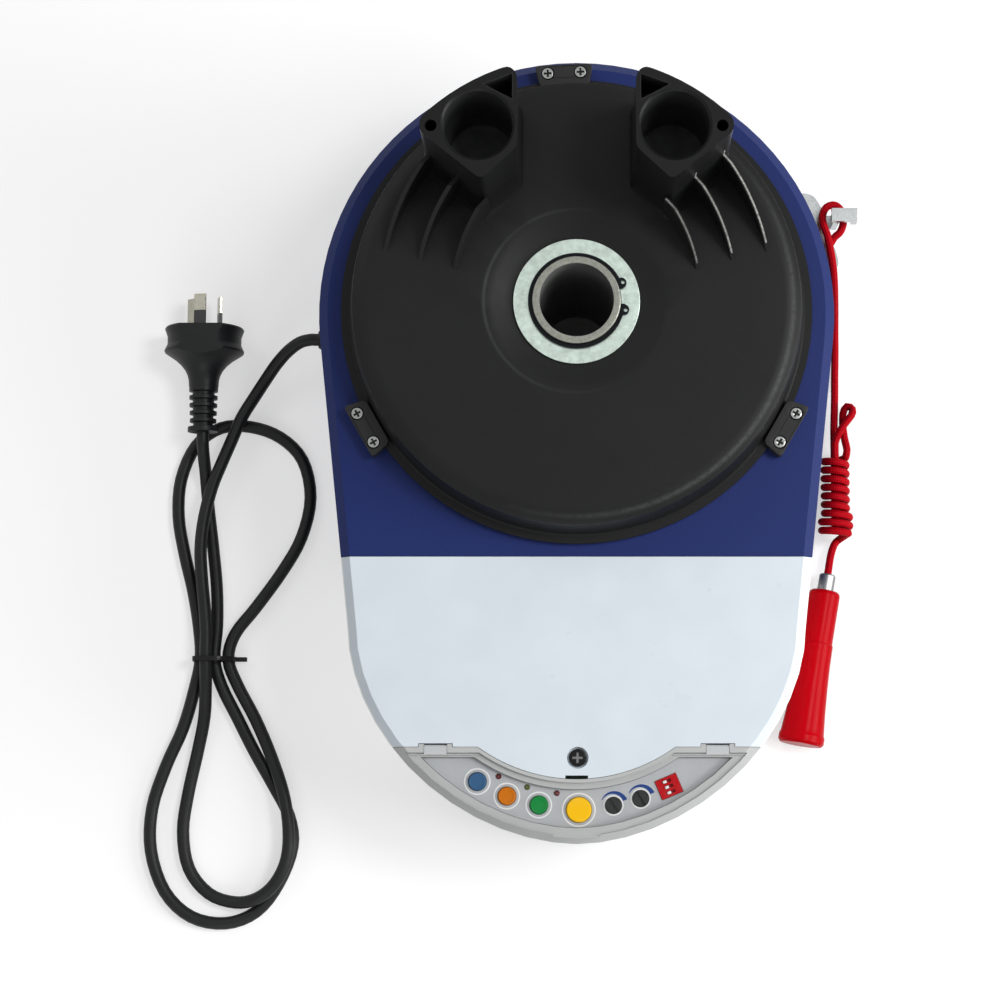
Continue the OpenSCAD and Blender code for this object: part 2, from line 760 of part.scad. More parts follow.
module panel_holes(z0, z1) {
    for (i = [0:3]) translate([buttons[i][0], buttons[i][1], z0])
        cylinder(r = (i < 3 ? button_r : big_button_r) + gap, h = z1 - z0, $fn = 32);
    for (p = trims) translate([p[0], p[1], z0]) cylinder(r = trim_r + gap, h = z1 - z0, $fn = 32);
    for (p = leds) translate([p[0], p[1], z0]) cylinder(r = led_r + slim / 2, h = z1 - z0, $fn = 20);
    translate([dip_c[0], dip_c[1], 0]) rotate([0, 0, dip_a])
        box(dip_l + 2 * slim, dip_w + 2 * slim, z0, z1);
}

module fascia_panel() {
    color("darkgray") difference() {
        panel_space(panel_z - label_t, panel_z, -slim);
        panel_holes(panel_z - label_t - over, panel_z + over);
        translate([screw_x, screw_y, floor_z]) cylinder(r = well_r + slim + wall_t, h = face_z - floor_z);
    }
}

module panel_flap() {
    color("lightcyan") {
        difference() {
            flap_space(face_z - flap_t, face_z, gap, gap);
            translate([screw_x, screw_y, floor_z])
                cylinder(r = well_r + slim, h = face_z - floor_z + over);
        }
        for (s = [-1, 1]) translate([s * hinge_x, hinge_y, 0]) {
            translate([0, 0, hinge_z]) rotate([0, 90, 0]) {
                cylinder(r = knuckle_r, h = hinge_w, center = true, $fn = 32);
                cylinder(r = pin_r, h = hinge_w + 2 * pin_len, center = true, $fn = 24);
            }
            translate([0, -(flap_drop + 1 + hinge_y) / 2, 0])
                box(hinge_w, flap_drop + 1 + hinge_y, face_z - flap_t, face_z);
        }
        translate([0, -latch_drop + latch_l / 2, face_z]) rotate([0, 90, 0])
            cylinder(r = bump_r, h = latch_w / 2, center = true, $fn = 16);
    }
}

module button(i) {
    r = i < 3 ? button_r : big_button_r;
    translate([buttons[i][0], buttons[i][1], 0]) difference() {
        union() {
            translate([0, 0, button_z]) cylinder(r = r, h = button_top - button_z - cup, $fn = 32);
            translate([0, 0, button_top - cup]) cylinder(r1 = r, r2 = r - cup, h = cup, $fn = 32);
            translate([0, 0, button_z]) cylinder(r = r + button_lip, h = button_lip_h, $fn = 32);
        }
        if (i < 3) translate([0, 0, button_top - cup / 2]) cylinder(r = r - 2 * cup, h = cup, $fn = 32);
    }
}
module button_blue() { color("steelblue") button(0); }
module button_orange() { color("darkorange") button(1); }
module button_green() { color("green") button(2); }
module button_yellow() { color("gold") button(3); }

module trim_knob(i) {
    color("dimgray") translate([trims[i][0], trims[i][1], 0]) difference() {
        translate([0, 0, knob_z]) cylinder(r = trim_r, h = knob_top - knob_z, $fn = 32);
        rotate([0, 0, 30]) box(knob_slot, 3 * trim_r, knob_top - knob_slot, knob_top + over);
    }
}
module trim_left() { trim_knob(0); }
module trim_right() { trim_knob(1); }

module led(p) {
    translate([p[0], p[1], board_z]) cylinder(r = led_r, h = led_top - board_z - led_r / 2, $fn = 20);
    translate([p[0], p[1], board_z]) cylinder(r = led_r + led_lip, h = led_lip * 2, $fn = 20);
    translate([p[0], p[1], led_top - led_r / 2])
        cylinder(r1 = led_r, r2 = led_r / 2, h = led_r / 2, $fn = 20);
}
module leds_red() { color("firebrick") { led(leds[0]); led(leds[2]); } }
module led_green() { color("olive") led(leds[1]); }

module slider_place(i) {
    translate([dip_c[0], dip_c[1], 0]) rotate([0, 0, dip_a])
        translate([0, (1 - i) * slider_pitch, 0]) children();
}
module dip_body() {
    color("crimson") difference() {
        translate([dip_c[0], dip_c[1], 0]) rotate([0, 0, dip_a]) box(dip_l, dip_w, board_z, dip_z);
        for (i = [0:2]) slider_place(i)
            box(slider_l + slider_run + 2 * slim, slider_w + slim, dip_z - slot_deep, dip_z + over);
    }
}
module slider(i) {
    color("white") slider_place(i) translate([-slider_run / 2, 0, 0])
        box(slider_l, slider_w, dip_z - slot_deep + slim / 2, dip_z - slot_deep + slider_h);
}
module slider_1() { slider(0); }
module slider_2() { slider(1); }
module slider_3() { slider(2); }

module main_board() {
    color("seagreen") difference() {
        intersection() {
            prism(outline(2 * cover_t + 1), board_z - board_t, board_z);
            translate([-big / 2, -big - low_drop, 0]) cube([big, big - low_half / 5, face_z]);
        }
        translate([screw_x, screw_y, 0]) cylinder(r = well_r + slim, h = face_z);
    }
}

module board_switches() {
    color("black") {
        for (p = buttons) translate([p[0], p[1], 0]) box(switch_w, switch_w, board_z, board_z + switch_h);
        for (p = trims) translate([p[0], p[1], 0]) box(switch_w, switch_w, board_z, board_z + switch_h);
    }
}

module board_relays() {
    color("navy") for (p = relays) translate([p[0], p[1], board_z]) cube(relay);
}

// Drum and hub
module drive_drum() {
    color("#2b2c2e") {
        rotate_extrude($fn = 96) polygon(concat(
            [[bush_r + run_gap, foot_z], [bush_r + run_gap, seat_z], [washer_r + slim, seat_z],
             [dish_r, drum_z], [drum_r - crown, drum_z]],
            [for (u = crown_shares) [drum_r - crown * (1 - u), drum_z - crown_drop * u * u]],
            [[drum_r, drum_z - crown_drop - crown_edge], [rim_foot, foot_z + flange_t + 1],
             [rim_foot + 1, foot_z + flange_t],
             [flange_r, foot_z + flange_t], [flange_r, foot_z], [rim_in, foot_z],
             [rim_in, drum_z - web_t - 3], [rim_in - 3.5, drum_z - web_t],
             [dish_r + 2, drum_z - web_t], [boss_r + 1, seat_z - web_t], [boss_r, foot_z]]));
        towers();
    }
}

function tower_pts() = let (q = [for (s = tower_shares) [sock_x, sock_y] + sock_r * s],
    a0 = atan2(q[3][1], q[3][0]), a1 = atan2(q[0][1], q[0][0]))
    rounded(concat(q, [for (i = [0:8]) let (a = a0 + 2.5 + (a1 - a0 - 4) * i / 8)
        tower_reach * [cos(a), sin(a)]]), corner_r);

module towers() {
    pts = tower_pts();
    mid = [sock_x, sock_y];
    pocket = [for (s = pocket_shares) mid + sock_r * s];
    for (m = [0, 1]) mirror([m, 0, 0]) {
        difference() {
            union() {
                prism(pts, drum_z - web_t / 2, drum_z + tower_h);
                for (i = [0, 1]) hull() for (l = [skirt_levels[i], skirt_levels[i + 1]])
                    prism([for (p = pts)
                        mid + (p - mid) * (1 + l[1] * skirt / sock_r / 1.6) - [0, l[1] * flare]],
                        drum_z - web_t / 2, drum_z + l[0]);
            }
            translate([sock_x, sock_y, sock_floor]) cylinder(r = sock_r, h = 2 * tower_h, $fn = 64);
            translate([sock_x, sock_y, drum_z + tower_h - 1])
                cylinder(r1 = sock_r, r2 = sock_r + 1 + slim, h = 1 + slim, $fn = 64);
            translate([sock_x + lock_d, sock_y - slim * 3, drum_z + tower_h - lock_deep])
                cylinder(r = lock_r, h = 2 * lock_deep, $fn = 24);
            prism(pocket, drum_z + tower_h - lock_deep, drum_z + tower_h + over);
        }
        difference() {
            for (r = tower_reach * gusset_shares) intersection() {
                rotate([0, 0, gusset_a0]) rotate_extrude(angle = gusset_a1 - gusset_a0, $fn = 96)
                    translate([r - gusset_t / 2, drum_z - web_t / 2])
                    square([gusset_t, gusset_h + web_t]);
                rotate([0, 0, gusset_a0]) rotate([90, 0, 90])
                    linear_extrude(height = 2 * top_r) polygon([[0, drum_z - web_t / 2], [0, drum_z],
                        [r * sin(gusset_reach), drum_z + gusset_h],
                        [1.4 * r * sin(gusset_reach), drum_z + gusset_h],
                        [1.4 * r * sin(gusset_reach), drum_z - web_t / 2]]);
            }
            translate([sock_x, sock_y, sock_floor]) cylinder(r = sock_r, h = 2 * tower_h, $fn = 64);
        }
    }
}

module drum_bush() {
    color("ivory") rotate_extrude() polygon([[tube_r + run_gap, face_z + gap], [hub_lip, face_z + gap],
        [hub_lip, foot_z - slim / 2], [bush_r, foot_z - slim / 2], [bush_r, seat_z],
        [tube_r + run_gap, seat_z]]);
}

module ring_gear() {
    r = ring_m * ring_n / 2;
    color("gray") difference() {
        translate([0, 0, gear_z]) cylinder(r = ring_out, h = gear_b, $fn = 96);
        rotate([0, 0, pinion_a]) prism(teeth(ring_n, r, r + 1.25 * ring_m, r - tip_share * ring_m,
            PI * ring_m / 2 + back / 2), gear_z - over, gear_z + gear_b + over);
    }
}

module drive_pinion() {
    r = ring_m * pinion_n / 2;
    color("darkgray") translate([pinion_x, pinion_y, 0]) {
        rotate([0, 0, pinion_a]) prism(teeth(pinion_n, r, r + tip_share * ring_m, r - 1.25 * ring_m,
            PI * ring_m / 2 - back / 2), gear_z, gear_z + gear_b);
        translate([0, 0, case_z + case_floor / 2])
            cylinder(r = shaft_r, h = gear_z + over - case_z - case_floor / 2);
    }
}

module shaft_bearing() {
    color("goldenrod") translate([pinion_x, pinion_y, 0]) difference() {
        union() {
            translate([0, 0, face_z - bearing_h]) cylinder(r = bearing_r, h = bearing_h + slim);
            translate([0, 0, face_z - shell_t - bearing_lip])
                cylinder(r = bearing_r + bearing_lip, h = bearing_lip);
        }
        translate([0, 0, face_z - bearing_h - over])
            cylinder(r = shaft_r + run_gap, h = bearing_h + 2 * over);
    }
}

module dogs(z, turn) {
    for (i = [0:3]) rotate([0, 0, turn + 90 * i]) intersection() {
        ring(dog_in, dog_out, z, z + dog_h);
        prism([[0, 0], 2 * dog_out * [cos(-20), sin(-20)], 2 * dog_out * [cos(20), sin(20)]],
            z, z + dog_h);
    }
}

module worm_wheel() {
    color("burlywood") translate([pinion_x, pinion_y, 0]) {
        difference() {
            union() {
                prism(teeth(wheel_n, wheel_r, wheel_r + worm_m, wheel_r - 1.4 * worm_m,
                    PI * worm_m / 2 - back / 2), worm_z - tooth_h / 2, worm_z + tooth_h / 2);
                translate([0, 0, wheel_z]) cylinder(r = wheel_r - 1.25 * worm_m, h = wheel_b, $fn = 64);
            }
            translate([0, 0, wheel_z - over]) cylinder(r = shaft_r + run_gap, h = wheel_b + 2 * over);
            for (z = [wheel_z - over, wheel_z + wheel_b - case_t]) rotate([0, 0, 0])
                ring(dog_out + 1, wheel_r - 2.4 * worm_m, z, z + case_t + over);
        }
        dogs(wheel_z + wheel_b, 0);
    }
}

module clutch_collar() {
    color("slategray") translate([pinion_x, pinion_y, 0]) {
        difference() {
            union() {
                translate([0, 0, collar_z + dog_h])
                    cylinder(r = collar_r, h = arm_z - lift - gap - collar_z - dog_h);
                translate([0, 0, collar_z + dog_h])
                    cylinder(r = shaft_r + run_gap + neck_t, h = collar_h - dog_h);
                translate([0, 0, rim_z]) cylinder(r = collar_rim, h = case_t);
            }
            translate([0, 0, collar_z]) cylinder(r = shaft_r + run_gap, h = 2 * collar_h);
        }
        dogs(collar_z + gap / 2, 45);
    }
}

module worm_shaft() {
    p = PI * worm_m;
    root = worm_r - 1.25 * worm_m;
    n = len(thread_shares);
    half = [for (q = thread_shares) [q[0], root + q[1] * 2.25 * worm_m]];
    round = concat(half, [for (i = [n - 2:-1:1]) [360 - half[i][0], half[i][1]]]);
    color("silver") translate([worm_x, pinion_y, worm_z]) rotate([90, 0, 0]) {
        translate([0, 0, -worm_turns * p / 2]) rotate([0, 0, 180 + 180 * worm_turns])
            linear_extrude(height = worm_turns * p, twist = -360 * worm_turns,
                slices = worm_steps * worm_turns, $fn = 16)
            polygon([for (q = round) q[1] * [cos(q[0]), sin(q[0])]]);
        translate([0, 0, -(case_y1 - case_t / 2 - pinion_y)])
            cylinder(r = worm_shaft_r, h = case_y1 - case_t / 2 - motor_y1 + snout_r);
    }
}

module gearbox_case() {
    color("darkgray") difference() {
        side_box(case_x0, case_x1, case_y0, case_y1, case_z, case_top);
        side_box(case_x0 + case_t, case_x1 - case_t, case_y0 + case_t, case_y1 - case_t,
            case_z + case_floor, case_top + over);
        translate([pinion_x, pinion_y, case_z + case_floor / 2 - slim])
            cylinder(r = shaft_r + run_gap, h = face_z);
        translate([worm_x, case_y1 - case_t / 2 + slim, worm_z]) rotate([90, 0, 0])
            cylinder(r = worm_shaft_r + run_gap, h = big);
    }
    color("darkgray") translate([pinion_x, pinion_y, 0]) difference() {
        translate([0, 0, case_z + case_floor]) cylinder(r = dog_out, h = wheel_z - case_z - case_floor - gap);
        translate([0, 0, case_z]) cylinder(r = shaft_r + run_gap, h = face_z);
    }
}

module gearbox_lid() {
    color("gray") difference() {
        side_box(case_x0, case_x1, case_y0, case_y1, case_top, case_top + case_t);
        translate([pinion_x, pinion_y, case_top - over]) cylinder(r = lid_hole, h = case_t + 2 * over);
    }
}

module motor_can() {
    color("slategray") translate([worm_x, 0, worm_z]) rotate([90, 0, 0]) difference() {
        union() {
            translate([0, 0, -motor_y1]) cylinder(r = motor_r, h = motor_l);
            translate([0, 0, -case_y0 + slim]) cylinder(r = snout_r, h = case_y0 - motor_y1);
            translate([0, 0, -motor_y1 + motor_l]) cylinder(r = snout_r, h = case_t);
        }
        translate([0, 0, -case_y0 - over])
            cylinder(r = worm_shaft_r + run_gap, h = case_y0 - motor_y1 + snout_r + gap + over);
    }
    color("slategray") side_box(worm_x - motor_foot_share * motor_r, worm_x + motor_foot_share * motor_r,
        motor_y1 - motor_l + case_t, motor_y1 - case_t, plate_t, worm_z - motor_r * 0.8);
}

module transformer() {
    c = core[0];
    s = core[1];
    color("dimgray") difference() {
        side_box(c[0], c[0] + s[0], c[1], c[1] + s[1], plate_t, plate_t + s[2]);
        for (k = [0, 1]) side_box(c[0] + coil_in + k * (s[0] / 2 - coil_in / 2),
            c[0] + s[0] / 2 - coil_in / 2 + k * (s[0] / 2 - coil_in / 2), c[1] - over, c[1] + s[1] + over,
            plate_t + coil_in, plate_t + s[2] - coil_in);
    }
}

module transformer_coil() {
    c = core[0];
    s = core[1];
    g = slim;
    color("peru") difference() {
        side_box(c[0] + coil_in + g, c[0] + s[0] - coil_in - g, c[1] - coil_out, c[1] + s[1] + coil_out,
            plate_t + coil_in + g, plate_t + s[2] - coil_in - g);
        side_box(c[0] + s[0] / 2 - coil_in / 2 - g, c[0] + s[0] / 2 + coil_in / 2 + g,
            c[1] - g, c[1] + s[1] + g, plate_t + coil_in - over, plate_t + s[2] - coil_in + over);
    }
}

module lamp_holder() {
    color("silver") {
        box_at = [0, lamp_y];
        translate([box_at[0], box_at[1], 0]) {
            box(2 * lamp_x + strip_w, strip_w, plate_t + lamp_base, plate_t + lamp_base + strip_t);
            for (s = [-1, 1]) translate([s * lamp_x, 0, 0])
                box(strip_w / 2, strip_w / 2, plate_t, plate_t + lamp_base);
        }
    }
}

module lamp_bulbs() {
    color("lightyellow") for (s = [-1, 1]) translate([s * lamp_x, lamp_y, 0]) {
        translate([0, 0, plate_t + lamp_base + strip_t])
            cylinder(r = lamp_neck, h = lamp_z - plate_t - lamp_base - strip_t);
        translate([0, 0, lamp_z]) sphere(r = lamp_r);
    }
}

module cord_gland() {
    color("dimgray") translate([-top_r, gland_y, gland_z]) rotate([0, -90, 0]) rotate_extrude()
        polygon([[0, -gland_tail], [cord_d / 2 + gland_cap / 8, -gland_tail], [gland_cap, -gland_cap],
            [gland_cap, -shell_t - slim - gland_cap / 8], [gland_r, -shell_t - slim - gland_cap / 8],
            [gland_r, gap], [gland_cap, gap], [gland_cap, gland_len / 3],
            [cord_d / 2 + 1.2, gland_len], [0, gland_len]]);
}

// Rim clips
module clip_holes(r, z0, z1) {
    for (a = clip_angles) rotate([0, 0, a]) for (s = [-1, 1])
        translate([screw_mid, s * screw_pitch / 2, z0]) cylinder(r = r, h = z1 - z0, $fn = 24);
}

module rim_clips() {
    color("#1d1d1f") difference() {
        for (a = clip_angles) rotate([0, 0, a]) prism(rounded([[clip_in, -clip_l / 2 + clip_round],
            [clip_out, -clip_l / 2], [clip_out, clip_l / 2], [clip_in, clip_l / 2 - clip_round]],
            clip_round), face_z, face_z + clip_h);
        translate([0, 0, face_z - over]) cylinder(r = flange_r + clip_gap,
            h = foot_z - face_z + flange_t + clip_gap + over, $fn = 96);
        clip_holes(shank_r + run_gap, face_z - over, face_z + clip_h + over);
        clip_holes(screw_hole, face_z + clip_h - screw_deep, face_z + clip_h + over);
    }
}

module clip_screws() {
    color("gainsboro") {
        difference() {
            clip_holes(screw_r, face_z + clip_h - screw_deep, face_z + clip_h - screw_deep + screw_head);
            for (a = clip_angles) rotate([0, 0, a]) for (s = [-1, 1])
                translate([screw_mid, s * screw_pitch / 2,
                    face_z + clip_h - screw_deep + screw_head - cross_h]) {
                    box(cross_w, 2 * cross_r, 0, cross_h + over);
                    box(2 * cross_r, cross_w, 0, cross_h + over);
                }
        }
        clip_holes(shank_r, face_z - 2 * fold_h, face_z + clip_h - screw_deep);
    }
}

// Release lever
module release_lever() {
    color("lightgray") {
        difference() {
            prism(rounded(concat([for (q = lever_out) [q[0] + out_x[0], q[1]]], lever_in), 4 * lever_t / 3),
                lever_z, lever_z + lever_t);
            translate([pivot[0], pivot[1], 0]) cylinder(r = pivot_r + run_gap, h = face_z);
        }
        translate([hook_x, hook_y - hook_w / 2, 0]) {
            side_box(0, lever_t, 0, hook_w, lever_z, lever_z + lever_t + hook_h);
            side_box(-lever_t / 3, hook_l, 0, hook_w,
                lever_z + hook_h, lever_z + lever_t + hook_h);
            side_box(hook_l - lever_t, hook_l, 0, hook_w,
                lever_z + lever_t + hook_h - hook_lip, lever_z + lever_t + hook_h);
            side_box(-lever_t, lever_t, 0, hook_w, lever_z, lever_z + lever_t);
        }
    }
}

module release_shaft() {
    d = norm([pinion_x, pinion_y] - pivot);
    near = collar_rim + gap;
    reach = sqrt(d * d - near * near);
    run = reach * lever_swing * PI / 180;
    a = atan2(pinion_y - pivot[1], pinion_x - pivot[0]) + asin(near / d);
    color("silver") translate([pivot[0], pivot[1], 0]) {
        translate([0, 0, plate_t + slim]) cylinder(r = pivot_r, h = arm_z + arm_t - plate_t - slim);
        rotate([0, 0, a]) {
            side_box(0, reach + arm_w / 2, 0, arm_w, arm_z, arm_z + arm_t);
            translate([reach - arm_w / 2, 0, 0]) rotate([90, 0, 90])
                linear_extrude(height = arm_w) polygon([[0, arm_z], [run, arm_z],
                    [run, arm_z + arm_t + lift], [0, arm_z + arm_t]]);
        }
    }
}

// Pull cord
rope_path = spline([for (q = knot) q + out_x], rope_n);
core_y = wrap_y0 - hank_turns * wrap_pitch + hank_end;
core_path = concat([for (i = [0:5]) [wrap_x, hank_top + (core_y - hank_top) * i / 6,
        wrap_z - core_dz - hank_rise * (1 - i / 6)]],
    [for (i = [0:6]) [wrap_x, core_y - core_dz * sin(30 * i), wrap_z - core_dz * cos(30 * i)]],
    [for (i = [1:5]) [wrap_x, core_y + (hank_back - core_y) * i / 6, wrap_z + core_dz]]);
wrap_n = hank_turns * turn_n;
wrap_path = [for (i = [0:wrap_n]) let (t = i / turn_n, a = 360 * t,
    w = t > hank_turns - 2.5 ? wrap_wide * min(1, (t - hank_turns + 2.5) * 2) : 0)
    [wrap_x + (wrap_a + w) * cos(a), wrap_y0 - wrap_pitch * t, wrap_z - wrap_b * sin(a)]];
hank_path = concat(core_path, spline([for (q = bight) q + out_x], rope_n),
    [for (i = [0:wrap_n - 2]) wrap_path[i]], spline([for (q = tail) q + out_x], 2));

module pull_rope() { color("crimson") sweep(rope_path, rope_d / 2, 8); }
module rope_hank() { color("crimson") sweep(hank_path, rope_d / 2, 6); }

module on_handle() {
    translate(ferrule_at) rotate([0, 0, -ferrule_a]) rotate([90, 0, 0]) children();
}
module rope_ferrule() {
    color("gainsboro") on_handle() rotate([handle_tip, 0, 0]) rotate_extrude() polygon([[0, 0],
        [ferrule_r - 0.6, 0], [ferrule_r, 0.8], [ferrule_r, ferrule_h], [0, ferrule_h]]);
}
module pull_handle() {
    l = handle_l;
    color("crimson") on_handle() rotate([handle_tip, 0, 0]) translate([0, 0, ferrule_h])
        rotate_extrude() polygon([[0, 0], [handle_r - 1.4, 0], [handle_r - 0.3, 0.9],
            [handle_r, 2.4], [handle_r, step_at], [handle_r + 0.5, step_at + 0.6],
            [handle_r + 0.7, step_at + 12], [handle_r + 1.3, l * 0.64], [handle_r + 2.2, l * 0.8],
            [flare_r - 0.6, l - 6], [flare_r, l - 4.6], [flare_r, l - 1.4], [flare_r - 1.2, l], [0, l]]);
}

// Mains cord
start_path = spline(cord_start, cord_n);
loops_path = spline(cord_loops, cord_n);
module mains_cord() { color("#26282a") sweep(start_path, cord_d / 2, 8); }
module cord_hank() { color("#26282a") sweep(loops_path, cord_d / 2, 8); }

module cord_tie() {
    p = rounded([[tie_x - tie_half, 0.2], [tie_x + tie_half, 0.2], [tie_x + tie_half, 9.6],
        [tie_x + 4, tie_top], [tie_x - tie_half + 2, tie_top]], 3);
    q = rounded([for (k = p) [tie_x, 7.6] + ([k[0], k[1]] - [tie_x, 7.6]) * 0.93], 0.1, 1);
    color("#1d1d1f") {
        translate([0, tie_y + tie_w / 2, 0]) rotate([90, 0, 0]) linear_extrude(height = tie_w)
            difference() { polygon(p); polygon(q); }
        side_box(tie_x + tie_half - tie_r, tie_x + tie_half + tie_tail, tie_y - tie_w / 2,
            tie_y + tie_w / 2, tie_tail - tie_w, tie_tail);
    }
}

module mains_plug() {
    w = plug_w / 2;
    k = plug_d / plug_w;
    color("#202223") translate([plug_x, 0, plug_z]) rotate([90, 0, 0]) {
        difference() {
            intersection() {
                rotate_extrude() polygon(concat([[0, -plug_y1], [w - 0.8, -plug_y1],
                    [w - 0.2, -plug_y1 + 0.8],
                    [w - waist, -plug_y1 + 5], [w - waist, -plug_y2 - 4.4],
                    [w, -plug_y2 - 1], [w - 0.4, -plug_y2]],
                    [for (i = [1:6]) let (t = i / 6)
                        [neck_r + (w - 2 - neck_r) * pow(1 - t, 2.4),
                            -plug_y2 + 1 + (-neck_y + plug_y2 - 1) * t]],
                    [for (i = [0:rib_n - 1]) for (q = [[1.2, 0.1], [1.2, 0.5], [-0.6, 0.6], [-0.6, 1]])
                        [relief_r + q[0] - i * 0.15,
                            -neck_y + 1 + (-relief_y + neck_y - 4) * (i + q[1]) / rib_n]],
                    [[relief_r + 1.6, -relief_y - 2.4], [relief_r + 1.6, -relief_y], [0, -relief_y]]));
                box(2 * plug_w, plug_d, -2 * plug_w, 2 * plug_w);
            }
        }
    }
}

module pin_place(a, d, radial) {
    translate([plug_x, plug_y1, plug_z]) rotate([0, -a, 0]) translate([d, 0, 0])
        rotate([0, radial ? 0 : 90, 0]) children();
}
module plug_pins() {
    color("#a8a58f") {
        for (a = [90 + plug_turn, plug_turn - 30]) pin_place(a, pin_d, false)
            side_box(-pin_w / 2, pin_w / 2, 0, pin_l, -pin_t / 2, pin_t / 2);
        pin_place(210 + plug_turn, earth_d, true)
            side_box(-pin_w / 2, pin_w / 2, 0, pin_l, -pin_t / 2, pin_t / 2);
    }
}

echo(rope_self_gap = self_gap(hank_path, 9, rope_d), hank_length = length_of(hank_path),
    rope_length = length_of(rope_path));
echo(cord_self_gap = self_gap(loops_path, 3, cord_d), loops_length = length_of(loops_path),
    start_length = length_of(start_path),
    start_gap = gap_of([for (i = [0:len(start_path) - 4]) start_path[i]], loops_path, cord_d));

rear_plate();
weld_nuts();
hub_flange();
hub_tube();
hub_washer();
circlip();
steel_shell();
light_cover();
cover_screw();
cover_pillar();
fascia_frame();
fascia_panel();
panel_flap();
button_blue();
button_orange();
button_green();
button_yellow();
trim_left();
trim_right();
leds_red();
led_green();
dip_body();
slider_1();
slider_2();
slider_3();
main_board();
board_switches();
board_relays();
drive_drum();
drum_bush();
ring_gear();
drive_pinion();
shaft_bearing();
worm_wheel();
clutch_collar();
worm_shaft();
gearbox_case();
gearbox_lid();
motor_can();
transformer();
transformer_coil();
lamp_holder();
lamp_bulbs();
cord_gland();
rim_clips();
clip_screws();
release_lever();
release_shaft();
pull_rope();
rope_hank();
rope_ferrule();
pull_handle();
mains_cord();
cord_hank();
cord_tie();
mains_plug();
plug_pins();
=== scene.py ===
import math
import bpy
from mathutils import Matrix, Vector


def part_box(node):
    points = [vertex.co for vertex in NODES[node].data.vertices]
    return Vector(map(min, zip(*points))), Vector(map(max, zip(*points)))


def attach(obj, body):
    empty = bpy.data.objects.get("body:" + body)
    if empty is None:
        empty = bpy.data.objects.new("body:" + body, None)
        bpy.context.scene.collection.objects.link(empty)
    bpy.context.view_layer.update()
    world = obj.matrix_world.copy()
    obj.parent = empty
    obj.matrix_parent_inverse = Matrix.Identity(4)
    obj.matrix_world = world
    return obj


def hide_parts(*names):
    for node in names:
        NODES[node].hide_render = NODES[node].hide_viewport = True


bl_info = {
    "name": "Roller door opener",
    "version": (1, 0, 0),
    "blender": (4, 5, 0),
    "location": "3D View > Sidebar > Opener",
    "description": "Dresses the roller door opener: finishes, cords, plug and stage",
    "category": "Object",
}

import bmesh
import bpy
from bpy.props import FloatProperty, FloatVectorProperty, PointerProperty
from mathutils import Euler, Vector

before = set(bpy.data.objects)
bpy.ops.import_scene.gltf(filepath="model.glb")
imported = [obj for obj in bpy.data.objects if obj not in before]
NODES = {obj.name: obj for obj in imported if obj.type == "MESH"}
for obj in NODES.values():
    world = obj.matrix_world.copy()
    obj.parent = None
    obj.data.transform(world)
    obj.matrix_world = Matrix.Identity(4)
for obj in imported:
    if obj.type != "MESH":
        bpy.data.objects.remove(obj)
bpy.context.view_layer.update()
MM = 0.001

# Routes of the cords, in millimetres, as the solids have them
CORD_START = [(-136.4, 2, 22), (-138.6, 2, 22), (-140.8, 2, 22), (-146.4, 0.7, 21.2),
    (-152.8, -3.4, 18.8), (-159.2, -9.8, 15.6), (-165.4, -18, 12.4), (-172, -28, 10.9),
    (-178, -38, 10.9), (-183, -50, 10.9), (-188, -62, 10.9), (-193, -75, 10.9),
    (-197, -92, 10.9), (-198.5, -108, 10.9), (-197.5, -124, 10.9), (-195.6, -140, 11.6),
    (-194.6, -152, 12)]
CORD_LOOPS = [(-194.6, -152, 12), (-194.6, -166, 12), (-194.6, -180, 10.2), (-195.6, -196, 5.4),
    (-199, -214, 3.5), (-203.6, -236, 3.5), (-206, -256, 3.5), (-202.6, -275, 3.5),
    (-192, -288, 3.5), (-178, -292.6, 5), (-166, -290.4, 9), (-156.6, -282.6, 11),
    (-150.8, -270, 11), (-150, -254, 11), (-153, -236, 10.8), (-160.2, -216.6, 6.6),
    (-169, -197.5, 3.6), (-178.6, -179.7, 4.2), (-183.7, -166, 4.6), (-180.4, -152.6, 4.2),
    (-169.6, -138.4, 3.5), (-155.8, -119, 3.5), (-146, -101, 3.5), (-141.6, -80, 3.5),
    (-146, -60, 3.5), (-158, -47.6, 3.5), (-174, -41.8, 3.5), (-190, -42.4, 3.5),
    (-203, -52, 3.5), (-210.6, -70, 3.5), (-211.6, -90, 3.5), (-208, -110, 3.5),
    (-203, -130, 3.5), (-199.4, -150, 4.2), (-198.3, -166, 4.6), (-201.4, -182, 4),
    (-207, -202, 3.5), (-215.6, -222, 3.5), (-222.4, -244, 3.5), (-222.6, -266, 3.5),
    (-215, -287, 3.5), (-201, -300, 3.5), (-183, -303.4, 3.5), (-167, -297.4, 3.5),
    (-155.6, -283, 3.5), (-148.6, -264, 3.5), (-150.6, -248, 3.5), (-158.9, -232.3, 3.5),
    (-169.3, -214.4, 3.5), (-178.7, -196.4, 3.5), (-187, -180.2, 4.2), (-191, -166, 4.6),
    (-190, -148, 4), (-190.6, -128, 3.5), (-193, -106, 3.5), (-195.4, -88, 3.5),
    (-196.8, -75, 3.9), (-197.3, -66, 7), (-197.5, -59, 12.6), (-197.5, -53, 16.8),
    (-197.5, -46.6, 17.4)]
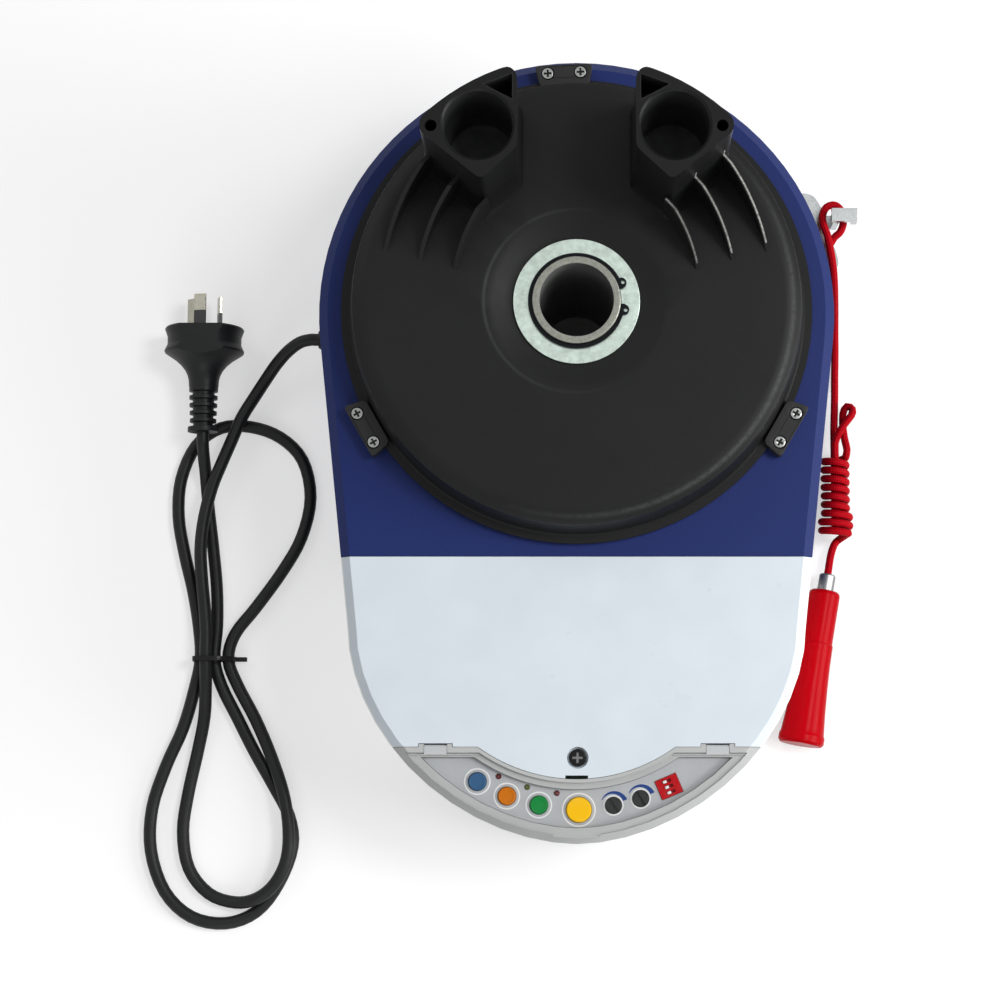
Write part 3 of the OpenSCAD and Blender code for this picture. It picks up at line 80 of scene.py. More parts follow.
ROPE = [(133.6, 50.6, 36.6), (135.4, 53.6, 37.6), (138.6, 56.6, 38.4), (140.2, 61.8, 38.6),
    (139.4, 67.2, 38.6), (136, 70.6, 38.8), (131.6, 69.6, 39.6), (129.1, 65, 41),
    (129.3, 59.6, 42.4), (131.2, 54, 42.4), (133.1, 46.6, 39.6), (134.5, 38.8, 37.4),
    (135.4, 31.4, 34.2), (136.6, 23, 24), (137.7, 15, 12.6), (138.3, 7, 5.6), (138.5, -3, 3),
    (138.2, -15, 3), (137.8, -27, 5), (137.2, -38, 7.2), (137, -44, 7.2)]
ROPE_BIGHT = [(137, -52, 12.4), (138.8, -47, 13.8), (142.2, -41.6, 13.8), (145.8, -37, 12.8),
    (146.6, -33.4, 11), (143.8, -31.6, 9.4), (141.8, -35.6, 8.2), (141.8, -43, 7.8),
    (142.6, -50, 9), (143.4, -55.2, 11.4)]
ROPE_TAIL = [(139.2, -102.4, 4.6), (136.4, -105.4, 6.6), (134.4, -111, 8.4),
    (133.3, -117, 8.4), (132.6, -121.4, 8.4)]
WRAP = {"x": 137.0, "z": 9.8, "turns": 9, "y0": -59.0, "pitch": 4.6, "a": 5.8, "b": 7.1,
    "wide": 1.6, "core": 2.5}

# Places on the drum and the label plate, in millimetres
BORE_R = 18.2
SOCKET_AT, SOCKET_R = (46, 71), 16.4
GUSSETS_R = (96.2, 78.73, 61.15)
DISH_R, RIM_R = 45.2, 105.4
KNOBS_AT = ((17.9, -243.0), (31.1, -239.7))
ARC_R, ARC_HALF_ANGLE = 6.2, 1.15
RING_GAP, RING_WIDTH = 0.7, 0.35
SLEEVE_TOP, SLEEVED_PINS_FROM = 17.4, -203.2
FLAP_CLEAR_BELOW = -218.6
RECESS_DEEP, COVER_WALL = 0.4, 4
SMOOTH_BELOW = 32


def spline(points, steps):
    """Smooth path through points, in metres."""
    p = [Vector(q) for q in points]
    out = []
    for i in range(len(p) - 1):
        a, b, c, d = p[max(i - 1, 0)], p[i], p[i + 1], p[min(i + 2, len(p) - 1)]
        for j in range(steps):
            t = j / steps
            out.append(b + t * (c - a) / 2 + t * t * (a - 2.5 * b + 2 * c - d / 2)
                + t ** 3 * (1.5 * (b - c) + (d - a) / 2))
    out.append(p[-1])
    return [q * MM for q in out]


def hank_points():
    """Control points of the rope through its hank: core, bight, wraps and tail."""
    w = WRAP
    low = w["y0"] - w["turns"] * w["pitch"] + 5.2
    z0 = w["z"] - w["core"] - 0.1
    pts = [(w["x"], -44 + (low + 44) * i / 6, z0 + 0.1 * i / 6) for i in range(1, 6)]
    pts += [(w["x"], low - w["core"] * math.sin(math.radians(30 * i)),
        w["z"] - w["core"] * math.cos(math.radians(30 * i))) for i in range(7)]
    pts += [(w["x"], low + (-52 - low) * i / 6, w["z"] + w["core"]) for i in range(1, 6)]
    pts += ROPE_BIGHT
    n = w["turns"] * 24
    for i in range(0, n - 1):
        t = i / 24
        k = w["wide"] * min(1, (t - w["turns"] + 2.5) * 2) if t > w["turns"] - 2.5 else 0
        a = math.radians(360 * t)
        pts.append((w["x"] + (w["a"] + k) * math.cos(a), w["y0"] - w["pitch"] * t,
            w["z"] - w["b"] * math.sin(a)))
    return pts + ROPE_TAIL


def length_of(path):
    """Length along path, in its own unit."""
    return sum((path[i + 1] - path[i]).length for i in range(len(path) - 1))


# Shading


class Value:
    """A shader socket. Arithmetic on it adds Math nodes."""

    def __init__(self, finish, socket):
        self.finish, self.socket = finish, socket

    def _math(self, operation, *terms):
        return self.finish.add("ShaderNodeMath", {"operation": operation}, dict(enumerate(terms)))

    def __add__(self, o):
        return self._math("ADD", self, o)

    def __radd__(self, o):
        return self._math("ADD", o, self)

    def __sub__(self, o):
        return self._math("SUBTRACT", self, o)

    def __rsub__(self, o):
        return self._math("SUBTRACT", o, self)

    def __mul__(self, o):
        return self._math("MULTIPLY", self, o)

    def __gt__(self, o):
        return self._math("GREATER_THAN", self, o)

    def __lt__(self, o):
        return self._math("LESS_THAN", self, o)

    def abs(self):
        return self._math("ABSOLUTE", self)

    def sin(self):
        return self._math("SINE", self)

    def root(self):
        return self._math("SQRT", self)

    def atan2(self, o):
        return self._math("ARCTAN2", self, o)

    def clamp(self):
        return self.finish.add("ShaderNodeClamp", {}, {"Value": self})


class Finish:
    """A node material for one of the opener's surfaces."""

    def __init__(self, name, color, rough, metal=0.0, **fixed):
        self.material = bpy.data.materials.new(name)
        self.material.use_nodes = True
        self.tree = self.material.node_tree
        self.tree.nodes.clear()
        self.shader = self.tree.nodes.new("ShaderNodeBsdfPrincipled")
        out = self.tree.nodes.new("ShaderNodeOutputMaterial")
        self.tree.links.new(self.shader.outputs[0], out.inputs[0])
        self.set("Base Color", (*color[:3], 1.0))
        self.set("Roughness", rough)
        self.set("Metallic", metal)
        for socket, value in fixed.items():
            self.set(socket.replace("_", " "), value)
        self.material.diffuse_color = (*color[:3], 1.0)

    def set(self, socket, value):
        self._give(self.shader.inputs[socket], value)

    def base(self):
        """The value that the base colour has so far."""
        return Value(self, self.shader.inputs["Base Color"].links[0].from_socket)

    def _give(self, socket, value):
        if isinstance(value, Value):
            self.tree.links.new(value.socket, socket)
        elif socket.type == "RGBA":
            socket.default_value = (*value[:3], 1.0)
        else:
            socket.default_value = value

    def add(self, kind, settings, sockets, out=0):
        node = self.tree.nodes.new(kind)
        for key, value in settings.items():
            setattr(node, key, value)
        for key, value in sockets.items():
            self._give(node.inputs[key], value)
        return Value(self, node.outputs[out])

    def place(self):
        return self.add("ShaderNodeTexCoord", {}, {}, "Object")

    def split(self, vector):
        """The three parts of a vector."""
        node = self.tree.nodes.new("ShaderNodeSeparateXYZ")
        self.tree.links.new(vector.socket, node.inputs[0])
        return [Value(self, s) for s in node.outputs]

    def join(self, x, y, z):
        return self.add("ShaderNodeCombineXYZ", {}, {0: x, 1: y, 2: z})

    def noise(self, scale, detail=3.0, rough=0.5, at=None):
        return self.add("ShaderNodeTexNoise", {"noise_dimensions": "3D"},
            {"Vector": at or self.place(), "Scale": scale, "Detail": detail, "Roughness": rough},
            "Fac")

    def mix(self, share, a, b):
        return self.add("ShaderNodeMix", {"data_type": "RGBA"},
            {"Factor": share, 6: a, 7: b}, 2)

    def tint(self, share, low, high):
        """Base colour between two tones, by share."""
        self.set("Base Color", self.mix(share, low, high))

    def bump(self, height, distance, strength=1.0):
        self.set("Normal", self.add("ShaderNodeBump", {},
            {"Height": height, "Distance": distance, "Strength": strength}))


def tone(color, k):
    """Color made k times as bright."""
    return tuple(min(1.0, c * k) for c in color[:3])


def moulded(name, color, rough, **fixed):
    """Moulded plastic: a fine even grain and a slow change of gloss."""
    f = Finish(name, color, rough, **fixed)
    f.tint(f.noise(38, 2), tone(color, 0.93), tone(color, 1.06))
    f.set("Roughness", rough - 0.06 + f.noise(60, 3) * 0.12)
    f.bump(f.noise(2600, 2), 0.00002)
    return f


def black_plastic(name, color, rough=0.4, dust=0.006, low=0.13, high=0.19, level=0.15):
    """Black moulding with pale dust that thins out between two heights in metres."""
    f = Finish(name, color, rough, Specular_IOR_Level=level)
    _, _, z = f.split(f.place())
    settled = ((high - z) * (1 / (high - low))).clamp()
    cloud = f.noise(22, 4, 0.6)
    speck = (f.noise(1300, 2, 0.8) - 0.56).clamp() * 9.0
    grime = settled * (cloud * 1.3 - 0.1 + speck * 0.6)
    f.tint(grime.clamp(), color, tuple(c + dust for c in color))
    f.set("Roughness", rough - 0.05 + f.noise(90, 3) * 0.12 + settled * 0.06)
    f.bump(f.noise(1900, 2) + speck * 0.3, 0.00003)
    return f


def drum_plastic(name, color, rough, dust):
    """Black moulding: sockets and pockets painted paler inside as painted fill light against their
    shade; the dish's edge, the rim's crown and the right gussets' crests carry painted highlights.
    """
    f = black_plastic(name, color, rough, dust)
    outside = f.base()
    x, y, z = (part * 1000 for part in f.split(f.place()))
    radius = (x * x + y * y).root()
    # Noise that breaks the painted highlights into patches
    highlight_patches = (f.noise(420, 3, 0.7) * 2.4 - 0.4).clamp()
    # The dish's edge: a painted highlight, palest at the left
    lip = (1 - ((radius - DISH_R).abs() * 0.8).clamp()) * (0.25 - x * 0.018).clamp()
    # The rim's crown: a painted highlight, palest at the lower right
    band = (1 - (radius - RIM_R).abs() * 0.55).clamp() * (x * 0.01 - y * 0.006 - 0.2).clamp()
    # The crests of the right gussets: painted glints, palest at the outermost
    crest = 0.0
    for gusset in GUSSETS_R:
        crest = crest + ((radius - gusset).abs() < 0.42)
    crest = crest * (x > 30) * (y > 0) * (x * 1.035 > y) * (z > 136.6) * (z < 168) * highlight_patches
    crest = crest * ((radius - 36) * 0.018).clamp()
    # The sockets and the triangular pockets beside them, the same on both sides, painted paler
    # inside: painted fill light against their shade
    across = x.abs()
    dx, dy = across - SOCKET_AT[0], y - SOCKET_AT[1]
    socket = (dx * dx + dy * dy).root() < SOCKET_R
    pocket = (across > 29.8) * (y < 106.7 - across * 0.3735) * (y > 66.9 + across * 0.53)
    # Paler towards the bottom, where their shade is deepest: painted fill light
    deep = ((170 - z) * 0.018).clamp()
    inside = f.mix(deep * f.noise(110, 3, 0.6) * 2, tone(color, 5), tone(color, 26))
    # Painted highlights laid over the moulding's own tone
    with_highlights = f.mix(lip * f.noise(50, 3) * 1.4, outside, tone(color, 7))
    with_highlights = f.mix(band * highlight_patches * 0.8, with_highlights, tone(color, 11))
    with_highlights = f.mix(crest.clamp(), with_highlights, (0.40, 0.40, 0.38))
    f.set("Base Color", f.mix((socket + pocket).clamp(), with_highlights, inside))
    return f


def lit_cover(name, color, top):
    """White cover, its walls below top painted paler: painted light lifting their shade."""
    f = moulded(name, color, 0.3, Specular_IOR_Level=0.45)
    face = f.base()
    _, _, z = f.split(f.place())
    # Walls below top painted paler as painted light
    f.tint(z > top, (0.90, 0.93, 0.91), face)
    return f


def cross_head(name, color, node, recess, rough=0.3):
    """Cross-head screw with a painted tone in its recess and down its side: painted shade where
    recess is below 1, a painted highlight where it is above 1.
    """
    f = plated(name, color, rough)
    bright = f.base()
    _, _, z = f.split(f.place())
    # Below the head's top: painted shade for a recess factor under 1, painted highlight over 1
    f.tint(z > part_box(node)[1][2] - RECESS_DEEP * MM, tone(color, recess), bright)
    return f


def powder_coat(name, color, rough=0.4):
    """Painted steel: orange peel under a fine speckle."""
    f = Finish(name, color, rough, Specular_IOR_Level=0.12)
    speck = f.noise(1500, 2, 0.7)
    f.tint((speck - 0.35) * 1.6, tone(color, 0.84), tone(color, 1.17))
    f.set("Roughness", rough + (f.noise(30, 3) - 0.5) * 0.16)
    f.bump(f.noise(420, 3, 0.6) + speck * 0.5, 0.00006, 0.8)
    return f


def plated(name, color, rough, scale=240):
    """Plated or bare metal: cloudy tone over a fine grain."""
    f = Finish(name, color, rough, 1.0)
    cloud = f.noise(scale * 0.25, 4, 0.6)
    fine = f.noise(scale * 6, 3, 0.7)
    f.tint((cloud * 0.6 + fine * 0.4 - 0.3) * 2.6, tone(color, 0.7), tone(color, 1.2))
    f.set("Roughness", rough - 0.1 + (cloud + fine) * 0.1)
    f.bump(fine, 0.00001)
    return f


def turned(name, color, rough):
    """Turned metal about the Z axis: rings round the axle; its bore painted dark and not metal as
    painted shade, its far end painted pale as a painted highlight.
    """
    f = Finish(name, color, rough, 1.0)
    x, y, z = f.split(f.place())
    radius = (x * x + y * y).root()
    rings = f.noise(1.0, 3, 0.7, at=f.join(radius * 2600, z * 2600, 0.0))
    cloud = (rings * 0.2 + f.noise(900, 4, 0.7) * 0.8 - 0.3) * 2.6
    bare = f.mix(cloud, tone(color, 0.72), tone(color, 1.3))
    # The bore: painted shade, with a painted highlight at its far end
    inside = radius < BORE_R * MM
    far_end = inside * (z < 0.0025)
    bore_shade_and_glint = f.mix(far_end, (0.14, 0.145, 0.14), (0.75, 0.77, 0.75))
    f.set("Base Color", f.mix(inside, bare, bore_shade_and_glint))
    f.set("Metallic", 1 - inside)
    f.set("Roughness", rough + (rings - 0.5) * 0.2)
    f.bump(rings, 0.00001)
    return f


def braided(name, color):
    """Braided rope: strands cross in two directions. U runs round, v along in millimetres."""
    f = Finish(name, color, 0.62, Specular_IOR_Level=0.08)
    u, v, _ = f.split(f.add("ShaderNodeUVMap", {"uv_map": "braid"}, {}))
    one = ((u * 4.0 + v * 0.55) * 2 * math.pi).sin()
    two = ((u * 4.0 - v * 0.55) * 2 * math.pi).sin()
    weave = (one * two * 0.5 + 0.5).clamp()
    fibre = f.noise(1.0, 2, 0.6, at=f.join(u * 60, v * 4.0, 0.0))
    f.tint((weave * 0.8 + fibre * 0.35 - 0.1).clamp(), tone(color, 0.5), tone(color, 1.2))
    f.bump(weave + fibre * 0.25, 0.0003, 0.9)
    return f


def sheath(name, color, rough=0.42):
    """Smooth black sheath of the mains cord."""
    f = Finish(name, color, rough, Specular_IOR_Level=0.2)
    f.tint(f.noise(55, 3), tone(color, 0.7), tone(color, 1.5))
    f.set("Roughness", rough - 0.06 + f.noise(140, 3) * 0.16)
    f.bump(f.noise(900, 3), 0.00002)
    return f


def clear(name, color, rough=0.1, body=0.006, rim=0.5, frosted=None):
    """Clear plastic or glass: denser towards its edges, and milky beyond y = frosted mm."""
    f = Finish(name, color, rough)
    facing = f.add("ShaderNodeLayerWeight", {}, {"Blend": 0.35}, "Facing")
    scuff = (f.noise(70, 4, 0.6) - 0.5).clamp() * 0.08
    density = facing * facing * rim + body + scuff
    if frosted is not None:
        _, y, _ = f.split(f.place())
        density = density + (y > frosted * MM) * 0.8
    f.set("Alpha", density.clamp())
    f.set("Roughness", rough - 0.02 + f.noise(40, 3) * 0.05)
    f.bump(f.noise(26, 2), 0.00002)
    return f


def sleeved(name, color, sleeve, y_end, x_end):
    """Plug pins: bright metal, with a black sleeve below y_end on the pins beyond x_end."""
    f = Finish(name, color, 0.28)
    x, y, _ = f.split(f.place())
    cover = (y < y_end * MM) * (x > x_end * MM)
    bare = f.mix(f.noise(300, 3), tone(color, 0.8), tone(color, 1.15))
    f.set("Base Color", f.mix(cover, bare, sleeve))
    f.set("Metallic", 1 - cover)
    f.set("Roughness", 0.24 + cover * 0.16)
    return f


def panel_plate(name, color, rings):
    """Grey label plate: a printed arc over each trim knob, a white line round each opening."""
    f = Finish(name, color, 0.45, Specular_IOR_Level=0.3)
    x, y, _ = f.split(f.place())
    arc = 0.0
    for cx, cy in KNOBS_AT:
        dx, dy = (x - cx * MM) * 1000, (y - cy * MM) * 1000
        radius = (dx * dx + dy * dy).root()
        angle = dx.atan2(dy)
        width = 0.2 + (angle + ARC_HALF_ANGLE) * 0.42
        arc = arc + ((radius - ARC_R).abs() < width) * (angle.abs() < ARC_HALF_ANGLE)
    line = 0.0
    for cx, cy, reach in rings:
        dx, dy = (x - cx) * 1000, (y - cy) * 1000
        line = line + (((dx * dx + dy * dy).root() - reach * 1000).abs() < RING_WIDTH)
    plain = f.mix(f.noise(220, 3), tone(color, 0.94), tone(color, 1.05))
    arcs = f.mix(arc.clamp(), plain, (0.0, 0.035, 0.19))
    f.tint(line.clamp(), arcs, (0.78, 0.79, 0.79))
    f.bump(f.noise(1800, 2), 0.000012)
    return f


# Pieces


def link(obj):
    """Puts obj in the scene."""
    bpy.context.scene.collection.objects.link(obj)
    return obj


def finished(name, bm, material, body):
    """A bmesh as a piece that rides on body, in metres, normals out."""
    bmesh.ops.remove_doubles(bm, verts=bm.verts, dist=1e-7)
    bmesh.ops.recalc_face_normals(bm, faces=bm.faces)
    mesh = bpy.data.meshes.new(name)
    bm.to_mesh(mesh)
    bm.free()
    for face in mesh.polygons:
        face.use_smooth = True
    mesh.set_sharp_from_angle(angle=math.radians(60))
    mesh.materials.append(material)
    obj = link(bpy.data.objects.new(name, mesh))
    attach(obj, body)
    return obj


def smoothing():
    """Node group that smooths the edges below SMOOTH_BELOW degrees."""
    group = bpy.data.node_groups.get("soft_edges")
    if group:
        return group
    group = bpy.data.node_groups.new("soft_edges", "GeometryNodeTree")
    group.interface.new_socket("Geometry", in_out="INPUT", socket_type="NodeSocketGeometry")
    group.interface.new_socket("Geometry", in_out="OUTPUT", socket_type="NodeSocketGeometry")
    start = group.nodes.new("NodeGroupInput")
    end = group.nodes.new("NodeGroupOutput")
    angle = group.nodes.new("GeometryNodeInputMeshEdgeAngle")
    below = group.nodes.new("FunctionNodeCompare")
    below.data_type, below.operation = "FLOAT", "LESS_THAN"
    below.inputs[1].default_value = math.radians(SMOOTH_BELOW)
    faces = group.nodes.new("GeometryNodeSetShadeSmooth")
    faces.domain = "FACE"
    edges = group.nodes.new("GeometryNodeSetShadeSmooth")
    edges.domain = "EDGE"
    joined = group.links.new
    joined(start.outputs[0], faces.inputs[0])
    joined(faces.outputs[0], edges.inputs[0])
    joined(angle.outputs[0], below.inputs[0])
    joined(below.outputs[0], edges.inputs["Shade Smooth"])
    joined(edges.outputs[0], end.inputs[0])
    return group


def dress(node, finish, edge=0.0, segments=2):
    """Gives a CAD node its finish, rounds its edges and smooths it.

    Edge is the most that they are rounded by, in millimetres. The bevel is clamped, so one
    short edge anywhere on the node keeps all of its roundings small.
    """
    obj = NODES[node]
    obj.data.materials.clear()
    obj.data.materials.append(finish.material)
    weld = obj.modifiers.new("weld", "WELD")
    weld.merge_threshold = 1e-6
    if edge:
        bevel = obj.modifiers.new("edge", "BEVEL")
        bevel.width = edge * MM
        bevel.segments = segments
        bevel.limit_method = "ANGLE"
        bevel.angle_limit = math.radians(30)
        bevel.use_clamp_overlap = True
    soft = obj.modifiers.new("soft", "NODES")
    soft.node_group = smoothing()
    flat = obj.modifiers.new("flat", "WEIGHTED_NORMAL")
    flat.keep_sharp = True


def tube(name, path, radius, sides, material, body, uv):
    """A closed round tube along path, with a uv layer of turns and millimetres."""
    bm = bmesh.new()
    layer = bm.loops.layers.uv.new(uv)
    n = len(path)
    tangents = [(path[min(i + 1, n - 1)] - path[max(i - 1, 0)]).normalized() for i in range(n)]
    side = tangents[0].orthogonal().normalized()
    rings, along = [], [0.0]
    for i in range(n):
        side = (side - tangents[i] * side.dot(tangents[i])).normalized()
        other = tangents[i].cross(side)
        rings.append([bm.verts.new(path[i] + radius * (math.cos(a) * side + math.sin(a) * other))
            for a in (2 * math.pi * k / sides for k in range(sides))])
        if i:
            along.append(along[-1] + (path[i] - path[i - 1]).length * 1000)
    for i in range(n - 1):
        for k in range(sides):
            m = (k + 1) % sides
            face = bm.faces.new((rings[i][k], rings[i][m], rings[i + 1][m], rings[i + 1][k]))
            corners = ((k, i), (k + 1, i), (k + 1, i + 1), (k, i + 1))
            for loop, (u, v) in zip(face.loops, corners):
                loop[layer].uv = (u / sides, along[v])
    for ring, turn in ((rings[0], -1), (rings[-1], 1)):
        bm.faces.new(ring[::turn])
    return finished(name, bm, material, body)


def curve_tube(name, path, radius, material, body):
    """A cord as one open curve."""
    data = bpy.data.curves.new(name, "CURVE")
    data.dimensions = "3D"
    line = data.splines.new("POLY")
    line.points.add(len(path) - 1)
    for point, at in zip(line.points, path):
        point.co = (*at, 1.0)
    line.use_smooth = True
    data.bevel_depth = radius
    data.bevel_resolution = 5
    data.use_fill_caps = True
    data.materials.append(material)
    obj = link(bpy.data.objects.new(name, data))
    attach(obj, body)
    return obj


class OpenerColours(bpy.types.PropertyGroup):
    shell: FloatVectorProperty(name="Shell", description="Colour of the steel shell",
        subtype="COLOR", default=(0.0155, 0.028, 0.134))
    cover: FloatVectorProperty(name="Cover", description="Colour of the light cover",
        subtype="COLOR", default=(0.655, 0.72, 0.775))
    drum: FloatVectorProperty(name="Drum", description="Colour of the drive drum",
        subtype="COLOR", default=(0.0056, 0.0058, 0.0058))
    rope: FloatVectorProperty(name="Rope", description="Colour of the pull cord",
        subtype="COLOR", default=(0.50, 0.0, 0.007))
    cord: FloatVectorProperty(name="Mains cord", description="Colour of the mains cord",
        subtype="COLOR", default=(0.009, 0.0095, 0.0095))


class OpenerSizes(bpy.types.PropertyGroup):
    cord_d: FloatProperty(name="Mains cord", description="Diameter of the mains cord",
        default=0.0066, unit="LENGTH")
    rope_d: FloatProperty(name="Rope", description="Diameter of the pull rope",
        default=0.004, unit="LENGTH")


def colours():
    return bpy.context.scene.opener_colours


def sizes():
    return bpy.context.scene.opener_sizes


class StageOperator(bpy.types.Operator):
    """Sets the camera, lamps and floor"""

    bl_idname = "opener.stage"
    bl_label = "Stage"

    def execute(self, context):
        scene = context.scene
        cam = bpy.data.cameras.new("camera")
        cam.lens, cam.sensor_width = 90.86, 36.0
        cam.shift_x, cam.shift_y = -0.077, -0.002
        cam.clip_start, cam.clip_end = 0.05, 20
        eye = link(bpy.data.objects.new("camera", cam))
        eye.location = (0.0002, -0.250, 1.336)
        eye.rotation_euler = Euler((math.radians(7.27), 0, 0))
        scene.camera = eye
        scene.view_settings.view_transform = "Standard"

        # Lamps: name, azimuth, height, distance from the middle, size and power
        middle = Vector((0, -0.05, 0.1))
        for name, azimuth, height, distance, size, power in (
                ("key", -8, 24, 2.0, 1.2, 33.0), ("top", 14, 60, 2.0, 0.6, 14.0),
                ("front", -95, 35, 1.8, 0.9, 4.2), ("back", 135, 40, 2.0, 1.0, 4.0)):
            a, h = math.radians(azimuth), math.radians(height)
            away = Vector((math.cos(h) * math.cos(a), math.cos(h) * math.sin(a), math.sin(h)))
            data = bpy.data.lights.new(name, "AREA")
            data.shape, data.size, data.energy = "DISK", size, power
            obj = link(bpy.data.objects.new(name, data))
            obj.location = middle + distance * away
            obj.rotation_mode = "QUATERNION"
            obj.rotation_quaternion = (-away).to_track_quat("-Z", "Y")

        world = bpy.data.worlds.new("world")
        scene.world = world
        world.use_nodes = True
        tree = world.node_tree
        tree.nodes.clear()
        rays = tree.nodes.new("ShaderNodeLightPath")
        plain = tree.nodes.new("ShaderNodeBackground")
        plain.inputs[0].default_value = (1, 1, 1, 1)
        plain.inputs[1].default_value = 0.3
        seen = tree.nodes.new("ShaderNodeBackground")
        seen.inputs[0].default_value = (1, 1, 1, 1)
        seen.inputs[1].default_value = 1.0
        either = tree.nodes.new("ShaderNodeMixShader")
        out = tree.nodes.new("ShaderNodeOutputWorld")
        straight = tree.nodes.new("ShaderNodeMath")
        straight.operation = "ADD"
        every = tree.nodes.new("ShaderNodeMath")
        every.operation, every.use_clamp = "ADD", True
        tree.links.new(rays.outputs["Is Camera Ray"], straight.inputs[0])
        tree.links.new(rays.outputs["Is Glossy Ray"], straight.inputs[1])
        tree.links.new(straight.outputs[0], every.inputs[0])
        tree.links.new(rays.outputs["Is Transmission Ray"], every.inputs[1])
        tree.links.new(every.outputs[0], either.inputs[0])
        tree.links.new(plain.outputs[0], either.inputs[1])
        tree.links.new(seen.outputs[0], either.inputs[2])
        tree.links.new(either.outputs[0], out.inputs[0])

        bm = bmesh.new()
        bmesh.ops.create_grid(bm, x_segments=1, y_segments=1, size=4)
        mesh = bpy.data.meshes.new("floor")
        bm.to_mesh(mesh)
        bm.free()
        floor = link(bpy.data.objects.new("floor", mesh))
        # Pale as seen from outside, but not through the hub's bore
        f = Finish("floor", (0.56, 0.56, 0.56), 0.9, Specular_IOR_Level=0.1)
        rays = f.tree.nodes.new("ShaderNodeLightPath")
        share = 0.0
        for ray in ("Is Camera Ray", "Is Glossy Ray", "Is Transmission Ray"):
            share = share + Value(f, rays.outputs[ray])
        x, y, _ = f.split(f.place())
        open_floor = (x * x + y * y).root() > 0.09
        f.set("Emission Color", f.mix(share.clamp() * open_floor, (0, 0, 0), (0.52, 0.52, 0.52)))
        f.set("Emission Strength", 1.0)
        mesh.materials.append(f.material)
        return {"FINISHED"}


class MainsCordOperator(bpy.types.Operator):
    """Lays the mains cord, its hank, tie and plug"""

    bl_idname = "opener.mains_cord"
    bl_label = "Mains cord"

    def execute(self, context):
        c, d = colours(), sizes().cord_d
        path = spline(CORD_START, 4)[:-1] + spline(CORD_LOOPS, 4)
        skin = sheath("cord_sheath", c.cord)
        cord = curve_tube("mains_cord_run", path, d / 2, skin.material, "housing")
        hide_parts("mains_cord", "cord_hank")
        dress("cord_tie", sheath("tie_skin", (0.006, 0.006, 0.0065), 0.3), 0.25)
        dress("mains_plug", sheath("plug_skin", (0.009, 0.0095, 0.010)), 0.5)
        dress("plug_pins", sleeved("pin_plate", (0.36, 0.35, 0.29), (0.008, 0.008, 0.008),
            SLEEVE_TOP, SLEEVED_PINS_FROM), 0.25)
        length_of(path)
        return {"FINISHED"}


class PullCordOperator(bpy.types.Operator):
    """Lays the pull rope, its hank, ferrule and handle"""

    bl_idname = "opener.pull_cord"
    bl_label = "Pull cord"

    def execute(self, context):
        c, d = colours(), sizes().rope_d
        path = spline(ROPE, 6)[:-1] + spline([ROPE[-1]] + hank_points(), 2)
        skin = braided("rope_braid", c.rope)
        rope = tube("pull_rope_run", path, d / 2, 12, skin.material, "pull", uv="braid")
        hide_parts("pull_rope", "rope_hank")
        dress("rope_ferrule", plated("ferrule_metal", (0.25, 0.25, 0.25), 0.35), 0.3)
        dress("pull_handle", moulded("handle_red", (0.42, 0.0, 0.004), 0.25,
            Specular_IOR_Level=0.04), 0.4)
        length_of(path)
        return {"FINISHED"}


class HousingOperator(bpy.types.Operator):
    """Finishes the shell, covers and fixings"""

    bl_idname = "opener.housing"
    bl_label = "Housing"

    def execute(self, context):
        c = colours()
        dress("steel_shell", powder_coat("shell_paint", c.shell), 1.6, 3)
        white = lit_cover("cover_white", c.cover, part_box("light_cover")[1][2] - COVER_WALL * MM)
        dress("light_cover", white, 1.2, 3)
        dress("fascia_frame", moulded("fascia_grey", (0.455, 0.465, 0.46), 0.4,
            Specular_IOR_Level=0.3), 0.5, 2)
        # Cover screw: recess and side painted paler, a painted highlight
        dress("cover_screw", cross_head("screw_black", (0.02, 0.02, 0.02), "cover_screw", 9), 0.15)
        zinc = plated("zinc_plate", (0.60, 0.62, 0.61), 0.35)
        for node in ("rear_plate", "weld_nuts", "hub_flange", "cover_pillar", "release_shaft",
                "lamp_holder"):
            dress(node, zinc)
        # Clip screws: recess and side painted dark, painted shade
        dress("clip_screws", cross_head("screw_zinc", (0.30, 0.31, 0.30), "clip_screws", 0.06),
            0.15)
        dress("rim_clips", black_plastic("clip_black", (0.012, 0.012, 0.0125), dust=0.012,
            level=0.2), 0.5)
        dress("cord_gland", black_plastic("gland_black", (0.010, 0.010, 0.0105), level=0.2), 0.3)
        dress("release_lever", plated("lever_zinc", (0.44, 0.46, 0.46), 0.22, scale=160), 0.4)
        return {"FINISHED"}


class DriveOperator(bpy.types.Operator):
    """Finishes the drum, hub and gear train"""

    bl_idname = "opener.drive"
    bl_label = "Drive"

    def execute(self, context):
        c = colours()
        dress("drive_drum", drum_plastic("drum_black", c.drum, 0.36, 0.004), 0.6, 2)
        dress("drum_bush", moulded("bush_plastic", (0.72, 0.70, 0.62), 0.35))
        dress("hub_tube", turned("tube_steel", (0.245, 0.25, 0.218), 0.3), 0.25)
        dress("hub_washer", plated("washer_zinc", (0.50, 0.585, 0.53), 0.3, scale=1500), 0.2)
        dress("circlip", plated("circlip_steel", (0.011, 0.012, 0.0135), 0.35), 0.2)
        steel = plated("gear_steel", (0.42, 0.42, 0.43), 0.35)
        for node in ("ring_gear", "drive_pinion", "clutch_collar", "worm_shaft", "motor_can",
                "transformer"):
            dress(node, steel)
        dress("shaft_bearing", plated("bronze", (0.55, 0.36, 0.16), 0.35))
        dress("worm_wheel", moulded("wheel_nylon", (0.70, 0.66, 0.55), 0.4))
        case = plated("cast_case", (0.52, 0.52, 0.53), 0.5, scale=500)
        dress("gearbox_case", case)
        dress("gearbox_lid", case)
        dress("transformer_coil", moulded("coil_tape", (0.35, 0.12, 0.03), 0.4))
        return {"FINISHED"}


